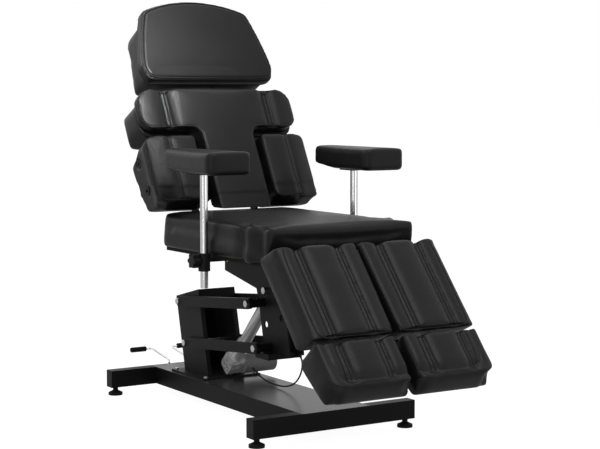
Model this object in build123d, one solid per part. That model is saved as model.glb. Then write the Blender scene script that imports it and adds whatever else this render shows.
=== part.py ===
from build123d import *

import os
from math import atan2, cos, degrees, hypot, radians, sin

# A height-adjustable tattoo chair, in millimetres. X runs across the chair, the occupant faces -Y,
# and Z is up from the floor. Places along Y are first measured from the middle of the base, and the
# whole chair is then moved so that its box is centred on the origin.
base_centre_y = 128.4

# Shared fits
running_gap = 0.05
soft_gap = 0.3
face_gap = 0.2
overrun = 10.0

# Base: two crossbars of rectangular tube joined by one wide flat beam
bar_length = 600.0
bar_width = 42.0
bar_height = 60.0
tube_wall = 3.0
base_length = 1028.0
beam_width = 250.0
floor_clearance = 28.6
cap_depth = 12.0

# Levelling feet
foot_disc_radius = 25.0
foot_disc_height = 9.0
foot_dome_height = 8.0
foot_neck_radius = 9.0
foot_stem_radius = 5.0
foot_stem_inside = 22.0
foot_inset_x = 24.0
foot_hub_gap = 2.0

# Column: a lipped channel that leans back and opens to the front
column_lean = 13.7
column_width = 145.0
column_depth = 167.0
column_wall = 4.0
column_lip = 16.0
column_height = 288.6
column_foot_y = 263.0
column_head_height = 45.0
foot_plate_thickness = 6.0
foot_plate_width = 224.0
foot_plate_front_y = 138.0
foot_plate_rear_y = 376.0
bolt_radius = 6.5
bolt_head_height = 5.0
bolt_inset = 14.0

# Parallel lift arms: each pair of pivots as (y, z)
upper_rear_pivot = (362.0, 336.0)
upper_front_pivot = (-118.0, 381.0)
lower_rear_pivot = (315.0, 195.0)
lower_front_pivot = (-165.0, 240.0)
arm_height = 36.0
arm_thickness = 14.0
arm_inner_x = 77.0
pin_radius = 7.0
pin_head_radius = 11.0
pin_head_height = 7.0
pin_collar_radius = 13.0

# Carriage: two deep side plates that carry the seat
plate_outer_x = 28.0
plate_thickness = 5.0
plate_foot_depth = 162.0
carriage_rear_y = 139.0
carriage_front_y = -430.0
gusset_rear_z = 464.0
gusset_front_z = 528.0
slab_gap = 1.0
foot_slab_height = 20.0
foot_slab_half_width = 65.0
foot_slab_front_y = -209.0
foot_slab_rear_y = -127.0
top_plate_half_width = 100.0
top_plate_thickness = 5.0
spacer_radius = 15.0
spacer_groove_radius = 12.0
spacer_rings = 5
plate_hole_radius = 11.0

# Linear actuator between the column's foot and the carriage: pins as (y, z)
actuator_lower_pin = (165.0, 107.0)
actuator_upper_pin = (-138.0, 423.0)
actuator_tube_radius = 20.5
actuator_tube_bore = 17.0
actuator_tube_start = 82.0
actuator_tube_end = 395.0
actuator_collar_at = 150.0
actuator_collar_radius = 26.0
actuator_collar_length = 10.0
actuator_rod_radius = 9.0
actuator_rod_length = 278.0
actuator_eye_radius = 13.0
actuator_eye_width = 30.0
actuator_pin_radius = 6.0
gearbox_at = 50.0
gearbox_length = 68.0
gearbox_depth = 58.0
gearbox_width = 52.0
gearbox_corner = 14.0
motor_radius = 33.0
motor_length = 128.0
motor_forward = 10.0
motor_end_round = 8.0
bracket_ear_thickness = 8.0

# Cord from the motor to the carriage's foot slab
cord_radius = 2.8
cord_gland_radius = 6.0
cord_gland_length = 16.0
cord_route = [
    (44.0, 78.0, 128.0),
    (44.0, 52.0, 118.0),
    (42.0, 12.0, 104.0),
    (40.0, -38.0, 96.5),
    (38.0, -92.0, 95.5),
    (38.0, -146.0, 98.0),
    (39.0, -196.0, 112.0),
    (41.0, -233.0, 142.0),
    (43.0, -248.0, 181.0),
    (44.0, -238.0, 213.0),
    (45.0, -212.0, 214.5),
]
cord_bend_share = 0.45

# Foot levers behind the rear crossbar
lever_x = 40.0
lever_stand = 19.0
lever_pivot_z = 66.0
lever_rod_radius = 4.0
lever_knee_back = 2.0
lever_knee_z = 98.0
lever_tip_back = 140.0
lever_tip_z = 121.0
lever_bend_radius = 12.0
lever_stub_length = 24.0
lever_sleeve_radius = 9.0
lever_sleeve_width = 24.0
lever_ear_thickness = 4.0
grip_radius = 9.5
grip_length = 64.0
grip_end_round = 5.0

# Seat
seat_board_thickness = 12.0
seat_board_half_width = 250.0
seat_board_front_y = -490.0
seat_board_rear_y = 140.0
seat_under_z = 557.0
seat_half_width = 271.0
seat_front_y = -572.0
seat_rear_y = 156.0
seat_side_z = 663.0
seat_end_z = 670.0
seat_crown_z = 680.0
seat_corner = 42.0
seat_edge_round = 16.0
seat_nose_z = 645.0
seat_nose_step = (23.0, 35.0)
seat_undercut = 77.0
seat_side_pull = 5.5
side_pull = 3.0

# Armrests
post_x = 285.0
post_y = -185.0
post_radius = 12.4
post_foot_z = 453.0
pad_under_z = 817.0
pad_top_z = 890.0
pad_rear_under_z = 834.0
pad_rear_y = 0.0
pad_front_y = -365.0
pad_centre_x = 288.0
pad_rear_width = 92.0
pad_front_width = 156.0
pad_slope_y = -138.0
pad_corner = 24.0
pad_edge_round = 14.0
pad_crown = 5.0
pad_plate_thickness = 5.0
pad_plate_size = (64.0, 76.0)
spigot_radius = 8.0
clamp_radius = 19.0
clamp_low_z = 507.0
clamp_high_z = 564.0
clamp_bar_width = 40.0
clamp_bar_thickness = 8.0
clamp_bar_inner_x = 105.0
knob_z = 541.0
knob_core_radius = 18.0
knob_lobe_radius = 6.0
knob_lobes = 6
knob_thickness = 22.0
knob_stud_radius = 4.0
knob_boss_radius = 10.0
knob_boss_length = 6.0

# Leg supports: a slanted calf cushion and a sliding foot cushion, one of each for each leg
leg_slope = 49.2
leg_corner = (-630.5, 621.6)
leg_outer_x = 290.0
leg_face_x = 270.0
leg_bevel_n = 14.0
leg_inner_top_x = 5.0
leg_inner_low_x = 14.0
calf_length = 323.0
calf_thickness = 115.0
calf_end_slant = 33.0
calf_crown = 8.0
leg_edge_round = 18.0
leg_side_round = 15.0
leg_hinge = (-585.0, 560.0)
leg_hinge_radius = 14.0
leg_pin_radius = 6.0
hinge_plate_half = 4.0
leg_lug_inner_x = 7.0
leg_lug_thickness = 3.0
leg_pan_thickness = 12.0
leg_pan_inset = 24.0
leg_pan_low = 40.0
leg_notch_length = 72.0
leg_notch_outer_x = 13.0
leg_foot_thickness = 4.0
leg_foot_outer_x = 40.0
leg_foot_length = 70.0
channel_radius = 5.0
channel_depth = 3.0
channel_pitch = 14.0
channel_inset_outer = 52.0
channel_inset_inner = 70.0
foot_gap = 6.0
foot_length = 150.0
foot_top_thickness = 126.0
foot_low_thickness = 89.0
foot_end_slant = 24.0
slide_rod_radius = 8.0
slide_sleeve_radius = 12.0
slide_rod_x_list = (80.0, 205.0)
slide_sleeve_start = 100.0
slide_sleeve_end = 295.0
slide_rod_start = 80.0
foot_pan_thickness = 5.0
foot_block_length = 34.0

# Backrest: places are (s, n), s up along its front face from the corner above the seat, n into it
back_lean = 27.5
back_corner = (60.0, 741.0)
back_floor_z = 683.0
stem_half_width = 98.0
shoulder_half_width = 306.0
shoulder_low_s = 245.0
shoulder_high_s = 395.0
stem_low_s = -90.0
back_thickness = 62.0
shoulder_crown = 28.0
shoulder_corner = 62.0
shoulder_round = 28.0
shoulder_seam_x = 201.0
side_round = 16.0
stem_fillet = 42.0
bolster_half_width = 300.0
bolster_low_s = 231.0
bolster_high_s = 374.0
bolster_back_n = 195.0
bolster_round = 50.0
wing_inner_x = 128.0
wing_face_x = 229.0
wing_outer_x = 316.0
wing_rear_x = 300.0
wing_front_n = 3.0
wing_bevel_n = 26.0
wing_top_s = 216.0
wing_back_n = 183.0
wing_side_n = 80.0
wing_high_s = 170.0
wing_mid_s = 60.0
wing_deep_n = 172.0
wing_low_s = -11.0
wing_low_n = 137.5
wing_foot_s = -24.0
wing_heel_s = -36.0
wing_heel_n = 64.0
wing_top_n = 92.0
wing_edge_round = 14.0
wing_corner_round = 12.0
eyelet_radius = 15.0
eyelet_hole_radius = 6.5
eyelet_depth = 3.0
eyelet_stand = 1.2
eyelet_places = ((162.0, 119.0), (56.0, 107.0))
pan_thickness = 12.0
pan_half_width = 90.0
pan_low_s = -20.0
pan_high_s = 224.0
frame_tube_inner_x = 82.0
frame_tube_width = 30.0
frame_tube_depth = 40.0
frame_tube_wall = 2.5
frame_tube_low_s = 8.0
frame_tube_high_s = 300.0
recline_hinge = (109.0, 522.0)
recline_radius = 18.0
recline_pin_radius = 8.0
recline_plate = 8.0
recline_plate_top_s = 140.0
ear_thickness = 6.0
recline_rear_y = 205.0
recline_inner_y = 166.0
wing_block_s_list = (70.0, 178.0)
wing_block_size = (40.0, 36.0)

# Headrest
head_low_s = 428.0
head_wide_s = 480.0
head_corner_s = 698.0
head_top_s = 741.0
head_low_half = 242.0
head_wide_half = 258.0
head_top_half = 205.0
head_front_n = 12.0
head_back_n = 56.0
head_round = 24.0
head_edge_round = 12.0
head_side_bulge = 6.0
head_crease_s = 486.0
head_rear_round = 34.0
head_rear_low_s = 432.0
head_rear_high_s = 664.0
head_rear_low_half = 237.0
head_rear_high_half = 214.0
head_rear_deep_n = 176.0
head_rear_top_n = 164.0
head_rod_x = 60.0
head_rod_n = 120.0
head_rod_radius = 8.0
head_rod_low_s = 236.0
head_rod_high_s = 520.0
head_sleeve_radius = 12.0
head_sleeve_low_s = 232.0

# Values that follow from the sizes above
bar_low_z = floor_clearance
bar_top_z = floor_clearance + bar_height
bar_y = (base_length - bar_width) / 2
lever_pivot = (base_length / 2 + lever_stand, lever_pivot_z)
lever_knee = (lever_pivot[0] + lever_knee_back, lever_knee_z)
lever_tip = (lever_pivot[0] + lever_tip_back, lever_tip_z)
plate_inner_x = plate_outer_x - plate_thickness
arm_outer_x = arm_inner_x + arm_thickness
plate_foot_z = lower_front_pivot[1] - spacer_radius - slab_gap
board_low_z = seat_under_z - seat_board_thickness
top_plate_low_z = board_low_z - top_plate_thickness
actuator_angle = degrees(
    atan2(actuator_upper_pin[1] - actuator_lower_pin[1], actuator_lower_pin[0] - actuator_upper_pin[0])
)
actuator_rest_length = hypot(
    actuator_upper_pin[1] - actuator_lower_pin[1], actuator_lower_pin[0] - actuator_upper_pin[0]
)
motor_centre = (
    actuator_lower_pin[0] - gearbox_at * cos(radians(actuator_angle)) - motor_forward,
    actuator_lower_pin[1] + gearbox_at * sin(radians(actuator_angle)) - motor_forward / 2,
)
slide_depth = calf_thickness + leg_pan_thickness + slide_sleeve_radius
foot_top_y = -calf_length - foot_gap
leg_plane = Plane(
    origin=(0, leg_corner[0], leg_corner[1]),
    x_dir=(1, 0, 0),
    z_dir=(0, -sin(radians(leg_slope)), cos(radians(leg_slope))),
)
back_plane = Plane(
    origin=(0, back_corner[0], back_corner[1]),
    x_dir=(1, 0, 0),
    z_dir=(0, -cos(radians(back_lean)), sin(radians(back_lean))),
)
actuator_plane = Plane(
    origin=(0, actuator_lower_pin[0], actuator_lower_pin[1]),
    x_dir=(1, 0, 0),
    z_dir=(0, -cos(radians(actuator_angle)), sin(radians(actuator_angle))),
)


# Helpers


def block(low, high):
    """Box between two opposite corners."""
    size = [high[i] - low[i] for i in range(3)]
    middle = [(high[i] + low[i]) / 2 for i in range(3)]
    return Pos(*middle) * Box(*size)


def rod_x(y, z, radius, x_low, x_high):
    """Round bar along X."""
    return Pos((x_low + x_high) / 2, y, z) * Rot(0, 90, 0) * Cylinder(radius, x_high - x_low)


def rod_z(x, y, radius, z_low, z_high):
    """Round bar along Z."""
    return Pos(x, y, (z_low + z_high) / 2) * Cylinder(radius, z_high - z_low)


def rod_s(x, n, radius, s_low, s_high):
    """Round bar along the local Y of a slanted plane, n below its face."""
    return Pos(x, (s_low + s_high) / 2, -n) * Rot(90, 0, 0) * Cylinder(radius, s_high - s_low)


def side_face(points):
    """Flat face in the YZ plane through (y, z) points."""
    return make_face(Plane.YZ * Polyline(*points, close=True))


def side_plate(points, x_low, x_high):
    """Plate cut to (y, z) points, from x_low to x_high."""
    return extrude(Pos(x_low, 0, 0) * side_face(points), x_high - x_low, dir=(1, 0, 0))


def mirrored(shape):
    """The same piece on the other side of the chair."""
    return mirror(shape, about=Plane.YZ)


def outline(points, bulges, radius):
    """Closed outline through counter-clockwise points: each side is straight, or an arc that stands out
    by its bulge (in when negative), and the corners are rounded."""
    sides = []
    for i, start in enumerate(points):
        end = points[(i + 1) % len(points)]
        run = (end[0] - start[0], end[1] - start[1])
        length = hypot(*run)
        bulge = bulges[i]
        if bulge:
            middle = (
                (start[0] + end[0]) / 2 + run[1] / length * bulge,
                (start[1] + end[1]) / 2 - run[0] / length * bulge,
            )
            sides.append(ThreePointArc(start, middle, end))
        else:
            sides.append(Line(start, end))
    face = make_face(Curve() + sides)
    if not radius:
        return face
    return fillet(face.vertices(), radius)


def rounded(face, corners, radius):
    """Rounds the corners of a flat outline that lie nearest to the given points."""
    for corner in corners:
        face = fillet(face.vertices().sort_by_distance(corner)[0], radius)
    return face


def slab(face, z_low, z_high):
    """Outline drawn as (x, y), run up from z_low to z_high."""
    return extrude(Pos(0, 0, z_low) * face, z_high - z_low, dir=(0, 0, 1))


def plan_prism(face, z_low, z_high):
    """Outline drawn as (x, y), run past both heights so that other prisms end it."""
    return slab(face, z_low - overrun, z_high + overrun)


def side_prism(face, reach):
    """Outline drawn as (y, z), run past reach on both sides."""
    return extrude(Plane.YZ * face, reach + overrun, both=True)


def end_prism(face, y_low, y_high):
    """Outline drawn as (x, z), run past both ends."""
    start = Pos(0, y_high + overrun, 0) * (Plane.XZ * face)
    return extrude(start, y_high - y_low + 2 * overrun, dir=(0, -1, 0))


def save(node, *shapes):
    """Writes one node, moved to the chair's own frame."""
    move = Pos(0, base_centre_y, 0)
    solids = []
    for shape in shapes:
        solids += (move * shape).solids()
    shape = solids[0] if len(solids) == 1 else Compound(children=solids)
    export_step(shape, f"parts/{node}.step")


# Base


def crossbar(y):
    """Rectangular tube across the chair, with a hole under each end for a levelling foot."""
    half = bar_length / 2
    outer = block((-half, y - bar_width / 2, bar_low_z), (half, y + bar_width / 2, bar_top_z))
    inner = block(
        (-half - overrun, y - bar_width / 2 + tube_wall, bar_low_z + tube_wall),
        (half + overrun, y + bar_width / 2 - tube_wall, bar_top_z - tube_wall),
    )
    bar = outer - inner
    for side in (-1, 1):
        x = side * (half - foot_inset_x)
        bar -= rod_z(x, y, foot_stem_radius + running_gap, bar_low_z - overrun, bar_low_z + overrun)
    return bar


def end_cap(side, y):
    """Plastic plug in one end of a crossbar."""
    half = bar_length / 2
    width = bar_width / 2 - tube_wall
    low, high = sorted((side * (half - cap_depth), side * half))
    return block(
        (low, y - width, bar_low_z + tube_wall), (high, y + width, bar_top_z - tube_wall)
    )


def beam():
    """Wide flat box that joins the two crossbars, open at its ends, which the bars close."""
    half_length = bar_y - bar_width / 2
    half_width = beam_width / 2
    outer = block((-half_width, -half_length, bar_low_z), (half_width, half_length, bar_top_z))
    inner = block(
        (-half_width + tube_wall, -half_length - overrun, bar_low_z + tube_wall),
        (half_width - tube_wall, half_length + overrun, bar_top_z - tube_wall),
    )
    return outer - inner


def levelling_foot(x, y):
    """Round foot: rubber disc, domed neck and threaded stem that runs up into the crossbar."""
    disc_top = foot_disc_height
    dome_top = disc_top + foot_dome_height
    neck_top = bar_low_z - foot_hub_gap
    profile = [
        (0, 0),
        (foot_disc_radius, 0),
        (foot_disc_radius, disc_top),
        (foot_neck_radius, dome_top),
        (foot_neck_radius, neck_top),
        (foot_stem_radius, neck_top),
        (foot_stem_radius, bar_low_z + foot_stem_inside),
        (0, bar_low_z + foot_stem_inside),
    ]
    face = make_face(Plane.XZ * Polyline(*profile, close=True))
    return Pos(x, y, 0) * revolve(face, Axis.Z)


def column():
    """Lipped channel leaning back, with a stiffening plate across its open front at the top."""
    half = column_width / 2
    deep = column_depth / 2
    section = Rectangle(column_width, column_depth)
    section -= Rectangle(column_width - 2 * column_wall, column_depth - 2 * column_wall)
    mouth = column_width - 2 * column_lip
    section -= Pos(0, -deep) * Rectangle(mouth, 2 * column_wall + overrun)
    plane = Plane(
        origin=(0, column_foot_y, bar_top_z),
        x_dir=(1, 0, 0),
        z_dir=(0, sin(radians(column_lean)), cos(radians(column_lean))),
    )
    channel = extrude(Pos(0, 0, -column_depth) * section, column_depth + column_height)
    head = block(
        (-half + column_lip, -deep, column_height - column_head_height),
        (half - column_lip, -deep + column_wall, column_height),
    )
    channel = plane.location * (channel + head)
    floor = bar_top_z + foot_plate_thickness
    reach = column_height
    channel -= block(
        (-half - overrun, column_foot_y - reach, floor - column_depth * 2),
        (half + overrun, column_foot_y + reach, floor),
    )
    for y, z in (upper_rear_pivot, lower_rear_pivot):
        channel -= rod_x(y, z, pin_radius, -half - overrun, half + overrun)
    return channel


def column_foot():
    """Plate under the column, on top of the beam."""
    half = foot_plate_width / 2
    return block(
        (-half, foot_plate_front_y, bar_top_z), (half, foot_plate_rear_y, bar_top_z + foot_plate_thickness)
    )


def bolt_head(x, y, z):
    """Hexagon head standing on a face."""
    return Pos(x, y, z) * extrude(RegularPolygon(bolt_radius, 6), bolt_head_height)


def column_bolts():
    """Heads of the four bolts through the column's foot plate."""
    top = bar_top_z + foot_plate_thickness
    half = foot_plate_width / 2 - bolt_inset
    return [
        bolt_head(side * half, y, top)
        for side in (-1, 1)
        for y in (foot_plate_front_y + bolt_inset, foot_plate_rear_y - bolt_inset)
    ]


def rear_pin(pivot):
    """Pivot bolt through the column and both arms, with a collar on each side to hold the arms off."""
    y, z = pivot
    half = column_width / 2
    head_x = arm_outer_x + face_gap
    pin = rod_x(y, z, pin_radius, -head_x - pin_head_height, head_x + pin_head_height)
    for side in (-1, 1):
        for x_from, x_to, radius in (
            (half, arm_inner_x - face_gap, pin_collar_radius),
            (head_x, head_x + pin_head_height, pin_head_radius),
        ):
            low, high = sorted((side * x_from, side * x_to))
            pin += rod_x(y, z, radius, low, high)
    return pin


def lift_arm(rear, front, side):
    """Flat bar with round ends and a pivot hole in each."""
    half = arm_height / 2
    low, high = sorted((side * arm_inner_x, side * arm_outer_x))
    length = hypot(rear[0] - front[0], rear[1] - front[1])
    slope = degrees(atan2(front[1] - rear[1], rear[0] - front[0]))
    bar = block((low, -length, -half), (high, 0, half))
    bar += rod_x(0, 0, half, low, high)
    bar += rod_x(-length, 0, half, low, high)
    for y in (0, -length):
        bar -= rod_x(y, 0, pin_radius + running_gap, low - overrun, high + overrun)
    return Pos(0, rear[0], rear[1]) * Rot(-slope, 0, 0) * bar


def actuator_bracket():
    """Two ears on the column's foot plate with the actuator's lower pin through them."""
    y, z = actuator_lower_pin
    floor = bar_top_z + foot_plate_thickness
    radius = z - floor
    inner = actuator_eye_width / 2 + face_gap
    ears = []
    for side in (-1, 1):
        low, high = sorted((side * inner, side * (inner + bracket_ear_thickness)))
        ear = rod_x(y, z, radius, low, high)
        ear += block((low, y - radius, floor), (high, y + radius, z))
        ear -= rod_x(y, z, actuator_pin_radius, low - overrun, high + overrun)
        ears.append(ear)
    reach = inner + bracket_ear_thickness
    pin = rod_x(y, z, actuator_pin_radius, -reach, reach)
    return ears + [pin]


# Foot levers


def lever_bracket(side):
    """Two ears on the back of the rear crossbar and the lever's pin."""
    y, z = lever_pivot
    face_y = base_length / 2
    inner = lever_sleeve_width / 2 + face_gap
    pieces = []
    for hand in (-1, 1):
        centre = side * lever_x
        low, high = sorted((centre + hand * inner, centre + hand * (inner + lever_ear_thickness)))
        ear = rod_x(y, z, lever_sleeve_radius, low, high)
        ear += block((low, face_y, z - lever_sleeve_radius), (high, y, z + lever_sleeve_radius))
        ear -= rod_x(y, z, lever_rod_radius, low - overrun, high + overrun)
        pieces.append(ear)
    reach = inner + lever_ear_thickness
    pieces.append(rod_x(y, z, lever_rod_radius, side * lever_x - reach, side * lever_x + reach))
    return pieces


def foot_lever(side):
    """Bent rod: up from its pivot sleeve, back, then out to the side for the grip."""
    x = side * lever_x
    start = (x, lever_pivot[0], lever_pivot[1])
    knee = (x, lever_knee[0], lever_knee[1])
    tip = (x, lever_tip[0], lever_tip[1])
    end = (x + side * (lever_stub_length + grip_length - grip_end_round), lever_tip[0], lever_tip[1])
    path = FilletPolyline(start, knee, tip, end, radius=lever_bend_radius)
    section = Plane(origin=start, z_dir=Vector(*knee) - Vector(*start)) * Circle(lever_rod_radius)
    rod = sweep(section, path=path)
    y, z = lever_pivot
    half = lever_sleeve_width / 2
    rod += rod_x(y, z, lever_sleeve_radius, x - half, x + half)
    return rod - rod_x(y, z, lever_rod_radius + running_gap, x - half - overrun, x + half + overrun)


def lever_grip(side):
    """Rubber sleeve on the end of a lever's rod."""
    start = side * (lever_x + lever_stub_length)
    end = start + side * grip_length
    low, high = sorted((start, end))
    y, z = lever_tip
    grip = rod_x(y, z, grip_radius, low, high)
    grip = fillet(grip.edges().filter_by(GeomType.CIRCLE), grip_end_round)
    depth = grip_length - grip_end_round
    low, high = sorted((start - side * overrun, start + side * depth))
    return grip - rod_x(y, z, lever_rod_radius, low, high)


# Carriage


def carriage_plate(side):
    """Deep side plate: pivots at its foot, gussets under the seat at its head."""
    low, high = sorted((side * plate_inner_x, side * plate_outer_x))
    rear = upper_front_pivot[0] + 2 * spacer_radius
    lower_rear = lower_front_pivot[0] + 3 * spacer_radius
    depth = plate_foot_depth
    shape = side_plate(
        [
            (carriage_rear_y, top_plate_low_z),
            (carriage_rear_y, gusset_rear_z),
            (rear + spacer_radius, actuator_upper_pin[1]),
            (rear, upper_front_pivot[1]),
            (lower_rear, lower_front_pivot[1]),
            (lower_rear, plate_foot_z),
            (lower_rear - depth, plate_foot_z),
            (rear - depth, actuator_upper_pin[1]),
            (carriage_front_y, gusset_front_z),
            (carriage_front_y, top_plate_low_z),
        ],
        low,
        high,
    )
    cut_low = low - overrun
    cut_high = high + overrun
    for y, z in (upper_front_pivot, lower_front_pivot):
        shape -= rod_x(y, z, pin_radius, cut_low, cut_high)
    shape -= rod_x(*actuator_upper_pin, actuator_pin_radius, cut_low, cut_high)
    between = (upper_front_pivot[1] + lower_front_pivot[1]) / 2
    first = lower_front_pivot[0] + 2 * spacer_radius
    shape -= rod_x(first, between, plate_hole_radius, cut_low, cut_high)
    shape -= rod_x(first - depth / 2 - spacer_radius, between + depth / 5, plate_hole_radius, cut_low, cut_high)
    hole_y = carriage_rear_y - plate_hole_radius
    hole_z = gusset_rear_z + 3 * plate_hole_radius
    return shape - rod_x(hole_y, hole_z, actuator_pin_radius, cut_low, cut_high)


def carriage_top():
    """Flat plate that joins the side plates under the seat board."""
    half = top_plate_half_width
    return block((-half, carriage_front_y, top_plate_low_z), (half, carriage_rear_y, board_low_z))


def cord_gland(before, end):
    """Round gland that takes the cord's end in line with its last run."""
    run = Vector(*end) - Vector(*before)
    return Plane(origin=end, z_dir=run) * extrude(Circle(cord_gland_radius), cord_gland_length)


def carriage_foot():
    """Cross slab under the side plates, with the cord's gland under it."""
    half = foot_slab_half_width
    low = plate_foot_z - foot_slab_height
    slab = block((-half, foot_slab_front_y, low), (half, foot_slab_rear_y, plate_foot_z))
    return slab + cord_gland(cord_route[-2], cord_route[-1])


def front_pin(pivot, side):
    """Stub bolt from one arm to its carriage plate."""
    y, z = pivot
    head_x = arm_outer_x + face_gap
    low, high = sorted((side * plate_inner_x, side * (head_x + pin_head_height)))
    head_low, head_high = sorted((side * head_x, side * (head_x + pin_head_height)))
    return rod_x(y, z, pin_radius, low, high) + rod_x(y, z, pin_head_radius, head_low, head_high)


def carriage_pins():
    """The four stub bolts and the actuator's upper pin."""
    pins = [front_pin(pivot, side) for pivot in (upper_front_pivot, lower_front_pivot) for side in (-1, 1)]
    y, z = actuator_upper_pin
    reach = plate_outer_x + 2 * pin_head_height
    pin = rod_x(y, z, actuator_pin_radius, -reach, reach)
    for side in (-1, 1):
        low, high = sorted((side * plate_outer_x, side * reach))
        pin += rod_x(y, z, pin_head_radius, low, high)
    return pins + [pin]


def spacer(pivot, side):
    """Ringed tube between an arm and its carriage plate."""
    y, z = pivot
    start = plate_outer_x
    length = arm_inner_x - face_gap - start
    step = length / (2 * spacer_rings - 1)
    low, high = sorted((side * start, side * (start + length)))
    tube = rod_x(y, z, spacer_groove_radius, low, high)
    for ring in range(spacer_rings):
        ring_low, ring_high = sorted(
            (side * (start + 2 * ring * step), side * (start + (2 * ring + 1) * step))
        )
        tube += rod_x(y, z, spacer_radius, ring_low, ring_high)
    return tube - rod_x(y, z, pin_radius, low - overrun, high + overrun)


# Actuator


def actuator_gearbox():
    """Cast gearbox with the lower eye."""
    half = gearbox_length / 2
    section = Rectangle(gearbox_depth, gearbox_length)
    section = fillet(section.vertices(), gearbox_corner)
    width = gearbox_width / 2
    box = Pos(-width, 0, gearbox_at) * (Plane.YZ * section)
    shape = extrude(box, gearbox_width, dir=(1, 0, 0))
    eye_half = actuator_eye_width / 2
    eye = rod_x(0, 0, actuator_lower_pin[1] - bar_top_z - foot_plate_thickness - face_gap, -eye_half, eye_half)
    neck = block((-eye_half, -actuator_pin_radius, 0), (eye_half, actuator_pin_radius, gearbox_at - half))
    shape += eye + neck
    shape -= rod_x(0, 0, actuator_pin_radius + running_gap, -eye_half - overrun, eye_half + overrun)
    return actuator_plane.location * shape


def actuator_tube():
    """Outer tube with a collar, closed at its foot and open at its head."""
    low = gearbox_at + gearbox_length / 2
    tube = rod_z(0, 0, actuator_tube_radius, low, actuator_tube_end)
    collar_end = actuator_collar_at + actuator_collar_length
    tube += rod_z(0, 0, actuator_collar_radius, actuator_collar_at, collar_end)
    tube -= rod_z(0, 0, actuator_tube_bore, low + overrun, actuator_tube_end + overrun)
    return actuator_plane.location * tube


def actuator_motor():
    """Motor lying across the chair beside the gearbox, with the cord's gland."""
    x_low = gearbox_width / 2
    motor = rod_x(*motor_centre, motor_radius, x_low, x_low + motor_length)
    far_edge = motor.edges().filter_by(GeomType.CIRCLE).sort_by(Axis.X)[-1]
    motor = fillet(far_edge, motor_end_round)
    return motor + cord_gland(cord_route[1], cord_route[0])


def actuator_rod():
    """Inner rod with the upper eye, hung from the carriage."""
    eye_half = plate_inner_x - face_gap
    top = actuator_rest_length
    rod = rod_z(0, 0, actuator_rod_radius, top - actuator_rod_length, top)
    rod += rod_x(0, top, actuator_eye_radius, -eye_half, eye_half)
    rod -= rod_x(0, top, actuator_pin_radius + running_gap, -eye_half - overrun, eye_half + overrun)
    return actuator_plane.location * rod


def bend_radius(before, corner, after):
    """Radius that uses a fixed share of the shorter run at a corner."""
    run_in = Vector(*corner) - Vector(*before)
    run_out = Vector(*after) - Vector(*corner)
    half_turn = radians(run_in.get_angle(run_out) / 2)
    shorter = min(run_in.length, run_out.length)
    return cord_bend_share * shorter * cos(half_turn) / sin(half_turn)


def motor_cord():
    """Cord hanging in a loop between its two glands."""
    corners = zip(cord_route, cord_route[1:], cord_route[2:])
    radii = [bend_radius(*corner) for corner in corners]
    print("cord bend radii", [round(radius) for radius in radii])
    path = FilletPolyline(*cord_route, radius=radii)
    start = Vector(*cord_route[0])
    heading = Vector(*cord_route[1]) - start
    cord = sweep(Plane(origin=start, z_dir=heading) * Circle(cord_radius), path=path)
    section_area = Circle(cord_radius).area
    print("cord length", round(path.length), "from its volume", round(cord.volume / section_area))
    return cord


# Seat


def seat_board():
    """Board under the seat cushion."""
    half = seat_board_half_width
    return block((-half, seat_board_front_y, board_low_z), (half, seat_board_rear_y, seat_under_z))


def seat_cushion():
    """Long crowned cushion whose front face slants in under its nose."""
    half = seat_half_width
    plan = outline(
        [(-half, seat_front_y), (half, seat_front_y), (half, seat_rear_y), (-half, seat_rear_y)],
        [0, -seat_side_pull, -side_pull, -seat_side_pull],
        seat_corner,
    )
    side = outline(
        [
            (seat_front_y + seat_undercut, seat_under_z),
            (seat_rear_y, seat_under_z),
            (seat_rear_y, seat_end_z),
            (seat_front_y, seat_end_z),
            (seat_front_y + seat_nose_step[0], seat_under_z + seat_nose_step[1]),
        ],
        [0, 0, seat_crown_z - seat_end_z, 0, 0],
        seat_edge_round,
    )
    end = outline(
        [(-half, seat_under_z), (half, seat_under_z), (half, seat_side_z), (-half, seat_side_z)],
        [0, 0, seat_crown_z - seat_side_z, 0],
        seat_edge_round,
    )
    cushion = plan_prism(plan, seat_under_z, seat_crown_z)
    cushion &= side_prism(side, half)
    return cushion & end_prism(end, seat_front_y, seat_rear_y)


# Armrests


def armrest_clamp(side):
    """Split sleeve for the post, its bar under the seat board and the boss for the knob."""
    low, high = sorted((side * top_plate_half_width, side * post_x))
    half = clamp_bar_width / 2
    bar = block(
        (low, post_y - half, board_low_z - clamp_bar_thickness), (high, post_y + half, board_low_z)
    )
    clamp = bar + rod_z(side * post_x, post_y, clamp_radius, clamp_low_z, clamp_high_z)
    low, high = sorted((side * post_x, side * (post_x + clamp_radius + knob_boss_length)))
    clamp += rod_x(post_y, knob_z, knob_boss_radius, low, high)
    clamp -= rod_x(post_y, knob_z, knob_stud_radius + running_gap, low, high)
    bore = post_radius + running_gap
    return clamp - rod_z(side * post_x, post_y, bore, clamp_low_z - overrun, clamp_high_z + overrun)


def clamp_knob(side):
    """Lobed knob with a stud that presses on the post."""
    start = post_x + clamp_radius + knob_boss_length + face_gap
    star = Sketch() + Circle(knob_core_radius)
    star += PolarLocations(knob_core_radius, knob_lobes) * Circle(knob_lobe_radius)
    knob = extrude(Pos(start, 0, 0) * (Plane.YZ * star), knob_thickness, dir=(1, 0, 0))
    stud_tip = post_x + post_radius + face_gap
    knob += rod_x(0, 0, knob_stud_radius, stud_tip, start)
    knob = Pos(0, post_y, knob_z) * knob
    return knob if side > 0 else mirrored(knob)


def armrest_post(side):
    """Round post with a thinner spigot for the pad's plate."""
    shoulder = pad_under_z - pad_plate_thickness - face_gap
    post = rod_z(side * post_x, post_y, post_radius, post_foot_z, shoulder)
    return post + rod_z(side * post_x, post_y, spigot_radius, shoulder, pad_under_z - face_gap)


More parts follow.
